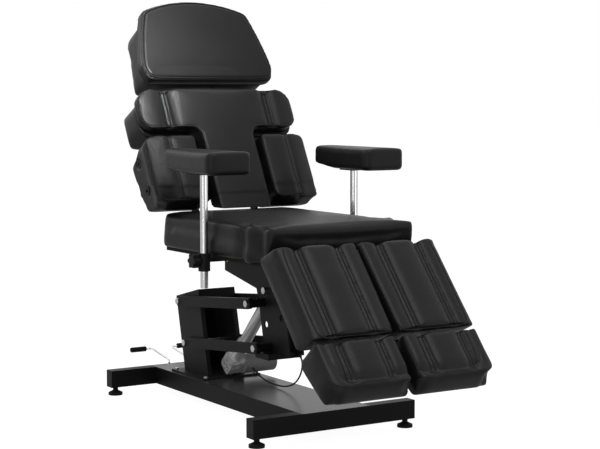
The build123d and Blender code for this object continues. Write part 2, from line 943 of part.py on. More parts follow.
def armrest_plate(side):
    """Steel plate under the pad, which turns on the post's spigot."""
    half_x = pad_plate_size[0] / 2
    half_y = pad_plate_size[1] / 2
    low_z = pad_under_z - pad_plate_thickness
    x = side * post_x
    plate = block((x - half_x, post_y - half_y, low_z), (x + half_x, post_y + half_y, pad_under_z))
    hole = spigot_radius + running_gap
    return plate - rod_z(x, post_y, hole, low_z - overrun, pad_under_z + overrun)


def armrest_pad(side):
    """Tapered pad, wider in front, with a crowned top and a rear underside that slopes up."""
    rear = pad_rear_width / 2
    front = pad_front_width / 2
    plan = outline(
        [(-front, pad_front_y), (front, pad_front_y), (rear, pad_rear_y), (-rear, pad_rear_y)],
        [0, 0, 0, 0],
        pad_corner,
    )
    pad = slab(plan, pad_under_z, pad_top_z)
    pad = fillet(pad.faces().filter_by(Axis.Z).edges(), pad_edge_round)
    profile = side_face(
        [
            (pad_front_y, pad_under_z),
            (pad_slope_y, pad_under_z),
            (pad_rear_y, pad_rear_under_z),
            (pad_rear_y, pad_top_z),
            (pad_front_y, pad_top_z),
        ]
    )
    pad &= extrude(profile, front + overrun, both=True)
    low_z = pad_top_z - pad_crown
    crown = outline(
        [(-front, pad_under_z), (front, pad_under_z), (front, low_z), (-front, low_z)],
        [0, 0, pad_crown, 0],
        0,
    )
    pad &= end_prism(crown, pad_front_y, pad_rear_y)
    return Pos(side * pad_centre_x, 0, 0) * pad


# Leg supports, drawn for one side in the leg's own plane: X across, Y up the slope, Z out of its face


def crown_drop(x, middle, half, crown):
    """How far a crowned face lies below its highest line at x."""
    return crown * ((x - middle) / half) ** 2


def leg_channels(low_y, high_y):
    """Thin round cuts for the double seams along a leg cushion."""
    middle = (leg_face_x + leg_inner_top_x) / 2
    half = (leg_face_x - leg_inner_top_x) / 2
    cuts = []
    for centre in (leg_face_x - channel_inset_outer, leg_inner_top_x + channel_inset_inner):
        for step in (-channel_pitch / 2, channel_pitch / 2):
            x = centre + step
            sink = crown_drop(x, middle, half, calf_crown) + channel_depth - channel_radius
            cuts.append(rod_s(x, sink, channel_radius, low_y, high_y))
    return cuts


def leg_end_outline(thickness, inner):
    """Crowned outline across one leg cushion, from its inner edge out."""
    low = -thickness
    edge = -calf_crown
    return outline(
        [(inner, low), (leg_outer_x, low), (leg_outer_x, -leg_bevel_n), (leg_face_x, edge), (inner, edge)],
        [0, 0, 0, calf_crown, 0],
        leg_side_round,
    )


def calf_cushion():
    """Slanted leg cushion with double seams and a notch behind for the hinge."""
    top = calf_end_slant
    plan = outline(
        [
            (leg_inner_low_x, -calf_length),
            (leg_outer_x, -calf_length),
            (leg_outer_x, top),
            (leg_inner_top_x, top),
        ],
        [0, -side_pull, 0, 0],
        0,
    )
    side = outline(
        [(top - calf_length, -calf_thickness), (top, -calf_thickness), (0, 0), (-calf_length, 0)],
        [0, 0, 0, 0],
        leg_edge_round,
    )
    cushion = plan_prism(plan, -calf_thickness, 0)
    cushion &= side_prism(side, leg_outer_x)
    cushion &= end_prism(leg_end_outline(calf_thickness, leg_inner_top_x), -calf_length, top)
    for cut in leg_channels(-calf_length - overrun, overrun):
        cushion -= cut
    hinge = leg_plane.to_local_coords(Vector(0, *leg_hinge))
    room = leg_hinge_radius + soft_gap
    notch_top = hinge.Z + room
    cushion -= block(
        (0, -leg_notch_length, -calf_thickness - overrun),
        (leg_notch_outer_x, top + overrun, notch_top),
    )
    return cushion


def calf_frame():
    """Board behind the calf cushion, its hinge bracket and the sleeves for the foot slide."""
    back = -calf_thickness
    low = back - leg_pan_thickness
    board = block(
        (leg_notch_outer_x + leg_lug_thickness, leg_pan_low - calf_length, low),
        (leg_outer_x - leg_pan_inset, calf_end_slant - leg_pan_inset, back),
    )
    hinge = leg_plane.to_local_coords(Vector(0, *leg_hinge))
    lug_high = leg_lug_inner_x + leg_lug_thickness
    foot_low = low - leg_foot_thickness
    lug = rod_x(hinge.Y, hinge.Z, leg_hinge_radius, leg_lug_inner_x, lug_high)
    lug += block(
        (leg_lug_inner_x, hinge.Y - leg_hinge_radius, foot_low),
        (lug_high, hinge.Y + leg_hinge_radius, hinge.Z),
    )
    lug += block(
        (leg_lug_inner_x, hinge.Y + leg_hinge_radius - leg_foot_length, foot_low),
        (leg_foot_outer_x, hinge.Y + leg_hinge_radius, low),
    )
    hole = leg_pin_radius + running_gap
    lug -= rod_x(hinge.Y, hinge.Z, hole, 0, lug_high + overrun)
    pieces = [board, lug]
    for x in slide_rod_x_list:
        n = slide_depth
        sleeve = rod_s(x, n, slide_sleeve_radius, -slide_sleeve_end, -slide_sleeve_start)
        sleeve += block(
            (x - slide_sleeve_radius, -slide_sleeve_end, -n),
            (x + slide_sleeve_radius, -slide_sleeve_start, low),
        )
        bore = slide_rod_radius + running_gap
        sleeve -= rod_s(x, n, bore, -slide_sleeve_end - overrun, -slide_sleeve_start + overrun)
        pieces.append(sleeve)
    return pieces


def foot_back(y):
    """Depth of the foot cushion's back face at a place along the leg."""
    fall = foot_top_thickness - foot_low_thickness
    return -foot_top_thickness + fall * (foot_top_y - y) / foot_length


def foot_cushion():
    """Wedge cushion that carries on the calf cushion's face."""
    low_y = foot_top_y - foot_length
    under_y = low_y - foot_end_slant
    plan = outline(
        [
            (leg_inner_low_x, under_y),
            (leg_outer_x, under_y),
            (leg_outer_x, foot_top_y),
            (leg_inner_low_x, foot_top_y),
        ],
        [0, 0, 0, 0],
        0,
    )
    side = outline(
        [(under_y, foot_back(under_y)), (foot_top_y, foot_back(foot_top_y)), (foot_top_y, 0), (low_y, 0)],
        [0, 0, 0, 0],
        leg_edge_round,
    )
    cushion = plan_prism(plan, -foot_top_thickness, 0)
    cushion &= side_prism(side, leg_outer_x)
    cushion &= end_prism(leg_end_outline(foot_top_thickness, leg_inner_low_x), under_y, foot_top_y)
    for cut in leg_channels(under_y - overrun, foot_top_y + overrun):
        cushion -= cut
    return cushion


def foot_frame():
    """Sloping plate behind the foot cushion with a block for each slide rod."""
    top = foot_top_y - leg_edge_round
    low = top - foot_length + foot_block_length
    inner = leg_inner_low_x + leg_pan_inset
    plate = side_plate(
        [
            (low, foot_back(low)),
            (low, foot_back(low) - foot_pan_thickness),
            (top, foot_back(top) - foot_pan_thickness),
            (top, foot_back(top)),
        ],
        inner,
        leg_outer_x - leg_pan_inset,
    )
    deep = -slide_depth - slide_sleeve_radius
    block_low = top - foot_block_length
    for x in slide_rod_x_list:
        plate += side_plate(
            [
                (block_low, foot_back(block_low)),
                (block_low, deep),
                (top, deep),
                (top, foot_back(top)),
            ],
            x - slide_sleeve_radius,
            x + slide_sleeve_radius,
        )
    for x in slide_rod_x_list:
        plate -= rod_s(x, slide_depth, slide_rod_radius, block_low - overrun, top + overrun)
    return plate


def foot_rods():
    """Two round rods that carry the foot cushion and slide under the calf board."""
    low = foot_top_y - leg_edge_round - foot_block_length
    return [rod_s(x, slide_depth, slide_rod_radius, low, -slide_rod_start) for x in slide_rod_x_list]


def leg_bracket():
    """Plate from under the seat to the leg hinge, with the pin both legs turn on."""
    y, z = leg_hinge
    half = hinge_plate_half
    deep = gusset_front_z
    plate = side_plate(
        [
            (carriage_front_y + leg_foot_length, top_plate_low_z),
            (carriage_front_y, top_plate_low_z),
            (carriage_front_y, board_low_z),
            (seat_board_front_y, board_low_z),
            (y, z + leg_hinge_radius),
            (y, z - leg_hinge_radius),
            (carriage_front_y, deep - leg_hinge_radius),
        ],
        -half,
        half,
    )
    plate += rod_x(y, z, leg_hinge_radius, -half, half)
    plate -= rod_x(y, z, leg_pin_radius, -half - overrun, half + overrun)
    reach = leg_lug_inner_x + leg_lug_thickness + face_gap
    return [plate, rod_x(y, z, leg_pin_radius, -reach, reach)]


# Backrest, drawn in its own plane: X across, Y up the back, Z out of its front face


def back_cushion():
    """T-shaped cushion: a narrow stem between the wings and wide shoulders."""
    stem = stem_half_width
    half = shoulder_half_width
    low = shoulder_low_s
    high = shoulder_high_s
    points = [
        (-stem, stem_low_s),
        (stem, stem_low_s),
        (stem, low),
        (half, low),
        (half, high),
        (-half, high),
        (-half, low),
        (-stem, low),
    ]
    plan = outline(points, [0] * len(points), 0)
    plan = rounded(plan, [(stem, low), (-stem, low)], stem_fillet)
    plan = rounded(plan, [(half, low), (half, high), (-half, high), (-half, low)], shoulder_corner)
    side = outline(
        [(stem_low_s, -back_thickness), (high, -back_thickness), (high, 0), (stem_low_s, 0)],
        [0, 0, 0, 0],
        0,
    )
    side = rounded(side, [(high, -back_thickness), (high, 0)], shoulder_round)
    end = outline(
        [
            (-half, -back_thickness),
            (half, -back_thickness),
            (half, -shoulder_crown),
            (-half, -shoulder_crown),
        ],
        [0, 0, shoulder_crown, 0],
        side_round,
    )
    cushion = plan_prism(plan, -back_thickness, 0)
    cushion &= side_prism(side, half)
    cushion &= end_prism(end, stem_low_s, high)
    for x in (-shoulder_seam_x, shoulder_seam_x):
        for step in (-channel_pitch / 2, channel_pitch / 2):
            sink = crown_drop(x + step, 0, half, shoulder_crown) + channel_depth - channel_radius
            cushion -= rod_s(x + step, sink, channel_radius, low - overrun, high + overrun)
    cushion = back_plane.location * cushion
    floor = back_floor_z
    reach = half + overrun
    return cushion - block((-reach, -reach, floor - reach), (reach, reach, floor))


def back_board():
    """Board behind the stem."""
    half = pan_half_width
    low = -back_thickness - pan_thickness
    return back_plane.location * block((-half, pan_low_s, low), (half, pan_high_s, -back_thickness))


def bolster():
    """Deep rounded cushion behind the shoulders, with pockets for the frame and headrest sleeves."""
    half = bolster_half_width
    back = -bolster_back_n
    front = -back_thickness
    plan = outline(
        [(-half, bolster_low_s), (half, bolster_low_s), (half, bolster_high_s), (-half, bolster_high_s)],
        [0, 0, 0, 0],
        bolster_round,
    )
    side = outline(
        [(bolster_low_s, back), (bolster_high_s, back), (bolster_high_s, front), (bolster_low_s, front)],
        [0, 0, 0, 0],
        0,
    )
    side = rounded(side, [(bolster_low_s, back), (bolster_high_s, back)], bolster_round)
    end = outline(
        [(-half, back), (half, back), (half, front), (-half, front)],
        [0, 0, 0, 0],
        0,
    )
    end = rounded(end, [(-half, back), (half, back)], bolster_round)
    cushion = plan_prism(plan, back, front)
    cushion &= side_prism(side, half)
    cushion &= end_prism(end, bolster_low_s, bolster_high_s)
    for side_sign in (-1, 1):
        cushion -= frame_tube_box(side_sign, 0)
        x = side_sign * head_rod_x
        cushion -= rod_s(x, head_rod_n, head_sleeve_radius, bolster_low_s - overrun, bolster_high_s + overrun)
    return back_plane.location * cushion


def wing():
    """Side cushion with a flat front, a bevel outside its seam and a deep rounded back."""
    side = outline(
        [
            (wing_low_s, -wing_low_n),
            (wing_mid_s, -wing_deep_n),
            (wing_high_s, -wing_back_n),
            (wing_top_s, -wing_top_n),
            (wing_top_s, -wing_front_n),
            (wing_foot_s, -wing_front_n),
            (wing_heel_s, -wing_heel_n),
        ],
        [0, 0, 0, 0, 0, 0, 0],
        wing_edge_round,
    )
    end = outline(
        [
            (wing_inner_x, -wing_back_n),
            (wing_rear_x, -wing_back_n),
            (wing_rear_x, -wing_side_n),
            (wing_outer_x, -wing_bevel_n),
            (wing_face_x, -wing_front_n),
            (wing_inner_x, -wing_front_n),
        ],
        [0, 0, 0, 0, 0, 0],
        wing_corner_round,
    )
    cushion = side_prism(side, wing_outer_x) & end_prism(end, wing_heel_s, wing_top_s)
    for s, n in eyelet_places:
        cushion -= rod_x(s, -n, eyelet_radius, wing_rear_x - eyelet_depth, wing_rear_x + overrun)
    return back_plane.location * cushion


def wing_eyelets():
    """Ring eyelets in the wing's outer side."""
    rings = []
    for s, n in eyelet_places:
        low = wing_rear_x - eyelet_depth
        high = wing_rear_x + eyelet_stand
        ring = rod_x(s, -n, eyelet_radius, low, high)
        ring -= rod_x(s, -n, eyelet_hole_radius, low - overrun, high + overrun)
        rings.append(back_plane.location * ring)
    return rings


def frame_tube_box(side_sign, inset):
    """Space one back tube takes up, drawn in by inset on its four sides."""
    low, high = sorted(
        (
            side_sign * (frame_tube_inner_x + inset),
            side_sign * (frame_tube_inner_x + frame_tube_width - inset),
        )
    )
    front = -back_thickness - pan_thickness
    return block(
        (low, frame_tube_low_s - inset, front - frame_tube_depth + inset),
        (high, frame_tube_high_s + inset, front - inset),
    )


def back_frame():
    """Two tubes behind the board and the blocks that carry the wings."""
    pieces = []
    outer = frame_tube_inner_x + frame_tube_width
    front = -back_thickness - pan_thickness
    for side_sign in (-1, 1):
        tube = frame_tube_box(side_sign, 0) - frame_tube_box(side_sign, frame_tube_wall)
        pieces.append(back_plane.location * tube)
        for s, x_start in zip(wing_block_s_list, (outer + recline_plate, outer)):
            low, high = sorted((side_sign * x_start, side_sign * wing_inner_x))
            half = wing_block_size[0] / 2
            solid = block(
                (low, s - half, front - wing_block_size[1]),
                (high, s + half, front - frame_tube_wall),
            )
            pieces.append(back_plane.location * solid)
    return pieces


def recline_plate_outline():
    """Bent plate from the recline hinge, round behind the seat, up to the back's frame tubes."""
    y, z = recline_hinge
    front = back_thickness + pan_thickness
    upper = back_plane.from_local_coords(Vector(0, recline_plate_top_s, -front))
    upper_back = back_plane.from_local_coords(Vector(0, recline_plate_top_s, -front - frame_tube_depth))
    lower = back_plane.from_local_coords(Vector(0, frame_tube_low_s, -front))
    under = z + recline_radius
    return [
        (y, z - recline_radius),
        (recline_rear_y - recline_radius, z - recline_radius),
        (recline_rear_y, z),
        (recline_rear_y, lower.Z),
        (upper_back.Y, upper_back.Z),
        (upper.Y, upper.Z),
        (lower.Y, lower.Z),
        (recline_inner_y, lower.Z - recline_radius),
        (recline_inner_y, under),
        (y, under),
    ]


def recline_arms():
    """The two bent plates."""
    y, z = recline_hinge
    low = frame_tube_inner_x + frame_tube_width
    high = low + recline_plate
    plate = side_plate(recline_plate_outline(), low, high) + rod_x(y, z, recline_radius, low, high)
    hole = recline_pin_radius + running_gap
    plate -= rod_x(y, z, hole, low - overrun, high + overrun)
    return [plate, mirrored(plate)]


def recline_ears():
    """Two pairs of ears under the seat board with their hinge pins."""
    y, z = recline_hinge
    low = frame_tube_inner_x + frame_tube_width
    high = low + recline_plate
    pieces = []
    starts = (low - face_gap - ear_thickness, high + face_gap)
    for start in starts:
        ear = rod_x(y, z, recline_radius, start, start + ear_thickness)
        ear += block((start, y - recline_radius, z), (start + ear_thickness, y + recline_radius, board_low_z))
        ear -= rod_x(y, z, recline_pin_radius, start - overrun, start + ear_thickness + overrun)
        pieces.append(ear)
    pieces.append(rod_x(y, z, recline_pin_radius, starts[0], starts[1] + ear_thickness))
    return pieces + [mirrored(piece) for piece in pieces]


# Headrest


def head_cushion():
    """Front piece of the headrest: wide low down, narrower above, with an arched top."""
    plan = outline(
        [
            (-head_low_half, head_low_s),
            (head_low_half, head_low_s),
            (head_wide_half, head_wide_s),
            (head_top_half, head_corner_s),
            (-head_top_half, head_corner_s),
            (-head_wide_half, head_wide_s),
        ],
        [0, 0, head_side_bulge, head_top_s - head_corner_s, head_side_bulge, 0],
        head_round,
    )
    cushion = slab(plan, -head_back_n, -head_front_n)
    cushion = fillet(cushion.faces().sort_by(Axis.Z)[-1].edges(), head_edge_round)
    groove_n = head_front_n + channel_depth - channel_radius
    cushion -= Pos(0, head_crease_s, -groove_n) * Rot(0, 90, 0) * Cylinder(
        channel_radius, 2 * head_wide_half + overrun
    )
    return back_plane.location * cushion


def head_rear():
    """Rear piece of the headrest, which holds the tops of its rods."""
    low = head_rear_low_s
    high = head_rear_high_s
    plan = outline(
        [
            (-head_rear_low_half, low),
            (head_rear_low_half, low),
            (head_rear_high_half, high),
            (-head_rear_high_half, high),
        ],
        [0, 0, 0, 0],
        head_round,
    )
    side = outline(
        [(low, -head_rear_deep_n), (high, -head_rear_top_n), (high, -head_back_n), (low, -head_back_n)],
        [0, 0, 0, 0],
        0,
    )
    side = rounded(side, [(low, -head_rear_deep_n), (high, -head_rear_top_n)], head_rear_round)
    end = outline(
        [
            (-head_rear_low_half, -head_rear_deep_n),
            (head_rear_low_half, -head_rear_deep_n),
            (head_rear_low_half, -head_back_n),
            (-head_rear_low_half, -head_back_n),
        ],
        [0, 0, 0, 0],
        0,
    )
    corners = [(-head_rear_low_half, -head_rear_deep_n), (head_rear_low_half, -head_rear_deep_n)]
    end = rounded(end, corners, head_rear_round)
    cushion = plan_prism(plan, -head_rear_deep_n, -head_back_n)
    cushion &= side_prism(side, head_rear_low_half)
    cushion &= end_prism(end, low, high)
    for side_sign in (-1, 1):
        cushion -= rod_s(side_sign * head_rod_x, head_rod_n, head_rod_radius, low - overrun, head_rod_high_s)
    return back_plane.location * cushion


def head_rods():
    """Rods that slide in the bolster's sleeves."""
    return [
        back_plane.location * rod_s(x, head_rod_n, head_rod_radius, head_rod_low_s, head_rod_high_s)
        for x in (-head_rod_x, head_rod_x)
    ]


def head_sleeves():
    """Sleeves for the headrest's rods, set in the bolster."""
    sleeves = []
    for x in (-head_rod_x, head_rod_x):
        sleeve = rod_s(x, head_rod_n, head_sleeve_radius, head_sleeve_low_s, bolster_high_s)
        bore = head_rod_radius + running_gap
        sleeve -= rod_s(x, head_rod_n, bore, head_sleeve_low_s - overrun, bolster_high_s + overrun)
        sleeves.append(back_plane.location * sleeve)
    return sleeves


# All nodes


def save_base():
    """Everything that stays on the floor."""
    cap_places = [(side, y) for side in (-1, 1) for y in (-bar_y, bar_y)]
    save("base_frame", crossbar(-bar_y), crossbar(bar_y), beam())
    save("base_end_caps", *[end_cap(side, y) for side, y in cap_places])
    foot_x = bar_length / 2 - foot_inset_x
    for end, y in (("front", -bar_y), ("rear", bar_y)):
        save(f"levelling_foot_{end}_left", levelling_foot(foot_x, y))
        save(f"levelling_foot_{end}_right", levelling_foot(-foot_x, y))
    save("column", column(), column_foot())
    save("column_bolts", *column_bolts(), rear_pin(upper_rear_pivot), rear_pin(lower_rear_pivot))
    save("actuator_bracket", *actuator_bracket())
    save("lever_brackets", *lever_bracket(-1), *lever_bracket(1))
    for name, side in (("left", 1), ("right", -1)):
        save(f"foot_lever_{name}", foot_lever(side))
        save(f"lever_grip_{name}", lever_grip(side))


def save_lift():
    """Lift arms, actuator and carriage."""
    for name, rear, front in (
        ("lower_lift_arms", lower_rear_pivot, lower_front_pivot),
        ("upper_lift_arms", upper_rear_pivot, upper_front_pivot),
    ):
        save(name, *[lift_arm(rear, front, side) for side in (-1, 1)])
    save("actuator_gearbox", actuator_gearbox())
    save("actuator_tube", actuator_tube())
    save("actuator_motor", actuator_motor())
    save("actuator_rod", actuator_rod())
    save("motor_cord", motor_cord())
    save("carriage_plates", carriage_plate(-1), carriage_plate(1))
    save("carriage_top_plate", carriage_top())
    save("carriage_foot_slab", carriage_foot())
    save("carriage_pins", *carriage_pins())
    pivots = (upper_front_pivot, lower_front_pivot)
    save("carriage_spacers", *[spacer(pivot, side) for pivot in pivots for side in (-1, 1)])


def save_seat():
    """Seat, armrests and leg supports."""
    save("seat_board", seat_board())
    save("seat_cushion", seat_cushion())
    save("leg_hinge_bracket", *leg_bracket())
    save("recline_ears", *recline_ears())
    save("armrest_clamps", armrest_clamp(-1), armrest_clamp(1))
    for name, side in (("left", 1), ("right", -1)):
        save(f"armrest_post_{name}", armrest_post(side))
        save(f"armrest_plate_{name}", armrest_plate(side))
        save(f"armrest_pad_{name}", armrest_pad(side))
        save(f"clamp_knob_{name}", clamp_knob(side))
    legs = (
        ("calf_cushion", [calf_cushion()]),
        ("calf_frame", calf_frame()),
        ("foot_cushion", [foot_cushion()]),
        ("foot_frame", [foot_frame()]),
        ("foot_rods", foot_rods()),
    )
    for name, shapes in legs:
        placed = [leg_plane.location * shape for shape in shapes]
        save(f"{name}_left", *placed)
        save(f"{name}_right", *[mirrored(shape) for shape in placed])


def save_back():
    """Backrest and headrest."""
    save("back_cushion", back_cushion())
    save("back_board", back_board())
    save("back_bolster", bolster())
    side_cushion = wing()
    save("back_wings", side_cushion, mirrored(side_cushion))
    rings = wing_eyelets()
    save("wing_eyelets", *rings, *[mirrored(ring) for ring in rings])
    save("back_frame", *back_frame(), *recline_arms())
    save("head_sleeves", *head_sleeves())
    save("head_cushion", head_cushion())
    save("head_rear_cushion", head_rear())
    save("head_rods", *head_rods())


def main():
    os.makedirs("parts", exist_ok=True)
    save_base()
    save_lift()
    save_seat()
    save_back()


if __name__ == "__main__":
    main()
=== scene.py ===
"""Looks of a height-adjustable tattoo chair: upholstery, metals, cord, stage and camera.

All measures are in metres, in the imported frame.
"""

import logging
import math
from collections.abc import Sequence
from dataclasses import dataclass, field
from enum import Enum

import bmesh
import bpy
import numpy as np
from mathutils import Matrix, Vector
from mathutils.bvhtree import BVHTree


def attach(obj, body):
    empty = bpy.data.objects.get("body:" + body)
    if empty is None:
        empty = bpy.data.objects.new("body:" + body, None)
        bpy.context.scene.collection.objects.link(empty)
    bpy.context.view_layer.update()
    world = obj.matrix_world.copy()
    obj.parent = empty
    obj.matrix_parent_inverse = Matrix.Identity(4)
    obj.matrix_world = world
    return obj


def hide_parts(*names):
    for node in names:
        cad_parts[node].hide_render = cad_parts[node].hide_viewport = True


LOG = logging.getLogger("chair")
SIDES = {"left": 1.0, "right": -1.0}
# Where y = 0 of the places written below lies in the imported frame.
BASE_SHIFT = 0.1284

Colour = tuple[float, float, float]
Place = tuple[float, float, float]

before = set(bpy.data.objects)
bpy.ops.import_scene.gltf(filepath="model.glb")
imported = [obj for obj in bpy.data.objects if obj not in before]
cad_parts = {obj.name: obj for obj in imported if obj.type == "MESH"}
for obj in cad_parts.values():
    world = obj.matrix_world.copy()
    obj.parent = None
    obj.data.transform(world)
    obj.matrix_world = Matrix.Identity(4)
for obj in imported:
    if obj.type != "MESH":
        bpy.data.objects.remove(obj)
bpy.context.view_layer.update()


class Socket(Enum):
    """Principled shader sockets used by the finishes."""

    COLOUR = "Base Color"
    ROUGHNESS = "Roughness"
    METALLIC = "Metallic"
    NORMAL = "Normal"
    SPECULAR = "Specular IOR Level"


@dataclass(frozen=True)
class SlantedFrame:
    """A slanted working plane: x across the chair, s along the slope, n into the cushion."""

    origin: tuple[float, float]
    angle: float
    climbs: bool

    def point(self, x: float, s: float, n: float) -> Vector:
        """Place in the chair's own frame.

        Args:
            x: distance across the chair.
            s: distance along the slope from the origin.
            n: depth below the face.

        Returns:
            The point in metres.
        """
        turn = math.radians(self.angle)
        if self.climbs:
            along = Vector((0.0, math.sin(turn), math.cos(turn)))
            into = Vector((0.0, math.cos(turn), -math.sin(turn)))
        else:
            along = Vector((0.0, -math.cos(turn), -math.sin(turn)))
            into = Vector((0.0, math.sin(turn), -math.cos(turn)))
        start = Vector((0.0, self.origin[0] + BASE_SHIFT, self.origin[1]))
        return start + Vector((x, 0.0, 0.0)) + along * s + into * n

    def into(self) -> Vector:
        """Unit vector that points into the cushion."""
        return (self.point(0.0, 0.0, 1.0) - self.point(0.0, 0.0, 0.0)).normalized()


BACK = SlantedFrame(origin=(0.060, 0.741), angle=27.5, climbs=True)
LEG = SlantedFrame(origin=(-0.6305, 0.6216), angle=49.2, climbs=False)


class Wiring:
    """Adds and joins the nodes of one tree."""

    def __init__(self, tree: bpy.types.NodeTree) -> None:
        """Take the tree.

        Args:
            tree: the tree to build in.
        """
        self.tree = tree

    def add(self, kind: str, **values: object) -> bpy.types.Node:
        """Add a node and set its inputs or properties by name.

        Args:
            kind: the node's type.
            values: properties, or inputs with spaces written as underscores.

        Returns:
            The new node.
        """
        node = self.tree.nodes.new(kind)
        for key, value in values.items():
            title = key.replace("_", " ")
            if title in node.inputs:
                node.inputs[title].default_value = value
            else:
                setattr(node, key, value)
        return node

    def link(self, source: bpy.types.NodeSocket, target: bpy.types.NodeSocket) -> None:
        """Join an output to an input."""
        self.tree.links.new(source, target)

    def math(self, operation: str, first: bpy.types.NodeSocket,
             second: bpy.types.NodeSocket | float = 0.0) -> bpy.types.NodeSocket:
        """Reckon with one or two values.

        Args:
            operation: the Math node's operation.
            first: the first value.
            second: the second value, where the operation has one.

        Returns:
            The result's output.
        """
        node = self.add("ShaderNodeMath", operation=operation)
        self.link(first, node.inputs[0])
        if isinstance(second, float):
            node.inputs[1].default_value = second
        else:
            self.link(second, node.inputs[1])
        return node.outputs[0]


@dataclass(frozen=True)
class Noise:
    """A noise: features per metre, octaves and the strength of the fine ones."""

    scale: float
    detail: float = 3.0
    roughness: float = 0.5


@dataclass(frozen=True)
class Relief:
    """A noise felt on the surface: how strongly it shows and its height in metres."""

    noise: Noise
    strength: float
    depth: float


class NodeTree(Wiring):
    """A material's nodes, round its Principled shader."""

    # The Mix node's sockets for colours, which share their names with its other ones.
    mix_first, mix_second, mix_result = 6, 7, 2

    def __init__(self, name: str) -> None:
        """Start a material.

        Args:
            name: the material's name.
        """
        self.material = bpy.data.materials.new(name)
        self.material.use_nodes = True
        super().__init__(self.material.node_tree)
        self.shader = self.tree.nodes["Principled BSDF"]
        self.coords = self.add("ShaderNodeTexCoord").outputs["Object"]

    def set(self, socket: Socket, value: float) -> None:
        """Set a constant on the shader's own socket."""
        self.shader.inputs[socket.value].default_value = value

    def drive(self, socket: Socket, source: bpy.types.NodeSocket) -> None:
        """Join an output to one of the shader's sockets."""
        self.link(source, self.shader.inputs[socket.value])

    def noise(self, noise: Noise) -> bpy.types.NodeSocket:
        """Noise on object coordinates."""
        node = self.add("ShaderNodeTexNoise", Scale=noise.scale, Detail=noise.detail,
                        Roughness=noise.roughness)
        self.link(self.coords, node.inputs["Vector"])
        return node.outputs["Fac"]

    def spread(self, source: bpy.types.NodeSocket, low: float, high: float,
               start: float = 0.0, end: float = 1.0) -> bpy.types.NodeSocket:
        """Map a value to a range.

        Args:
            source: the value.
            low: result at start.
            high: result at end.
            start: source value for low.
            end: source value for high.

        Returns:
            The mapped output.
        """
        node = self.add("ShaderNodeMapRange", From_Min=start, From_Max=end, To_Min=low, To_Max=high)
        self.link(source, node.inputs["Value"])
        return node.outputs["Result"]

    def blend(self, factor: bpy.types.NodeSocket, first: Colour,
              second: Colour) -> bpy.types.NodeSocket:
        """Mix two colours by a factor.

        Args:
            factor: mixing value.
            first: colour at 0.
            second: colour at 1.

        Returns:
            The mixed colour's output.
        """
        node = self.add("ShaderNodeMix", data_type="RGBA")
        self.link(factor, node.inputs[0])
        node.inputs[self.mix_first].default_value = (*first, 1.0)
        node.inputs[self.mix_second].default_value = (*second, 1.0)
        return node.outputs[self.mix_result]

    def bump(self, height: bpy.types.NodeSocket, strength: float, depth: float,
             below: bpy.types.NodeSocket | None = None) -> bpy.types.NodeSocket:
        """Bump from a height value.

        Args:
            height: the height.
            strength: how strongly it shows.
            depth: height of a full step, in metres.
            below: an earlier bump's normal.

        Returns:
            The normal's output.
        """
        node = self.add("ShaderNodeBump", Strength=strength, Distance=depth)
        self.link(height, node.inputs["Height"])
        if below is not None:
            self.link(below, node.inputs["Normal"])
        return node.outputs["Normal"]

    def relief(self, relief: Relief,
               below: bpy.types.NodeSocket | None = None) -> bpy.types.NodeSocket:
        """Bump from a noise.

        Args:
            relief: the noise and its height.
            below: an earlier bump's normal.

        Returns:
            The normal's output.
        """
        return self.bump(self.noise(relief.noise), relief.strength, relief.depth, below)

    def grain(self, scale: float) -> bpy.types.NodeSocket:
        """Distance to the edges of small irregular cells, as in leather grain."""
        node = self.add("ShaderNodeTexVoronoi", feature="DISTANCE_TO_EDGE", Scale=scale,
                        Randomness=1.0)
        self.link(self.coords, node.inputs["Vector"])
        return node.outputs["Distance"]


@dataclass(frozen=True)
class Leather:
    """Black satin synthetic leather with a fine pebbled grain and soft creases."""

    name: str = "black synthetic leather"
    shade: Colour = (0.0070, 0.0070, 0.0072)
    light: Colour = (0.0130, 0.0130, 0.0133)
    clouds: Noise = Noise(9.0, 4.0)
    roughness: tuple[float, float] = (0.36, 0.46)
    patches: Noise = Noise(38.0)
    creases: Relief = Relief(Noise(16.0, 2.5, 0.45), 0.22, 0.004)
    pebbles: float = 620.0
    pebble_wall: float = 0.35
    pebble_bump: tuple[float, float] = (0.16, 0.0004)
    pores: Relief = Relief(Noise(1900.0, 2.0), 0.08, 0.0002)
    specular: float = 0.19

    def build(self) -> bpy.types.Material:
        """Make the material."""
        nodes = NodeTree(self.name)
        clouds = nodes.noise(self.clouds)
        nodes.drive(Socket.COLOUR, nodes.blend(clouds, self.shade, self.light))
        nodes.drive(Socket.ROUGHNESS, nodes.spread(nodes.noise(self.patches), *self.roughness))
        creases = nodes.relief(self.creases)
        grain = nodes.spread(nodes.grain(self.pebbles), 0.0, 1.0, 0.0, self.pebble_wall)
        pebble = nodes.bump(grain, *self.pebble_bump, creases)
        nodes.drive(Socket.NORMAL, nodes.relief(self.pores, pebble))
        nodes.set(Socket.SPECULAR, self.specular)
        return nodes.material


@dataclass(frozen=True)
class Coating:
    """Paint, plastic or rubber with a fine surface and slight wear."""

    name: str
    shade: Colour
    light: Colour
    roughness: tuple[float, float]
    texture: float
    bump: float = 0.12
    depth: float = 0.0004
    clouds: Noise = Noise(22.0, 5.0, 0.6)
    patches: Noise = Noise(60.0, 4.0)
    specular: float = 0.10

    def build(self) -> bpy.types.Material:
        """Make the material."""
        nodes = NodeTree(self.name)
        clouds = nodes.noise(self.clouds)
        nodes.drive(Socket.COLOUR, nodes.blend(clouds, self.shade, self.light))
        nodes.drive(Socket.ROUGHNESS, nodes.spread(nodes.noise(self.patches), *self.roughness))
        skin = Relief(Noise(self.texture), self.bump, self.depth)
        nodes.drive(Socket.NORMAL, nodes.relief(skin))
        nodes.set(Socket.SPECULAR, self.specular)
        return nodes.material


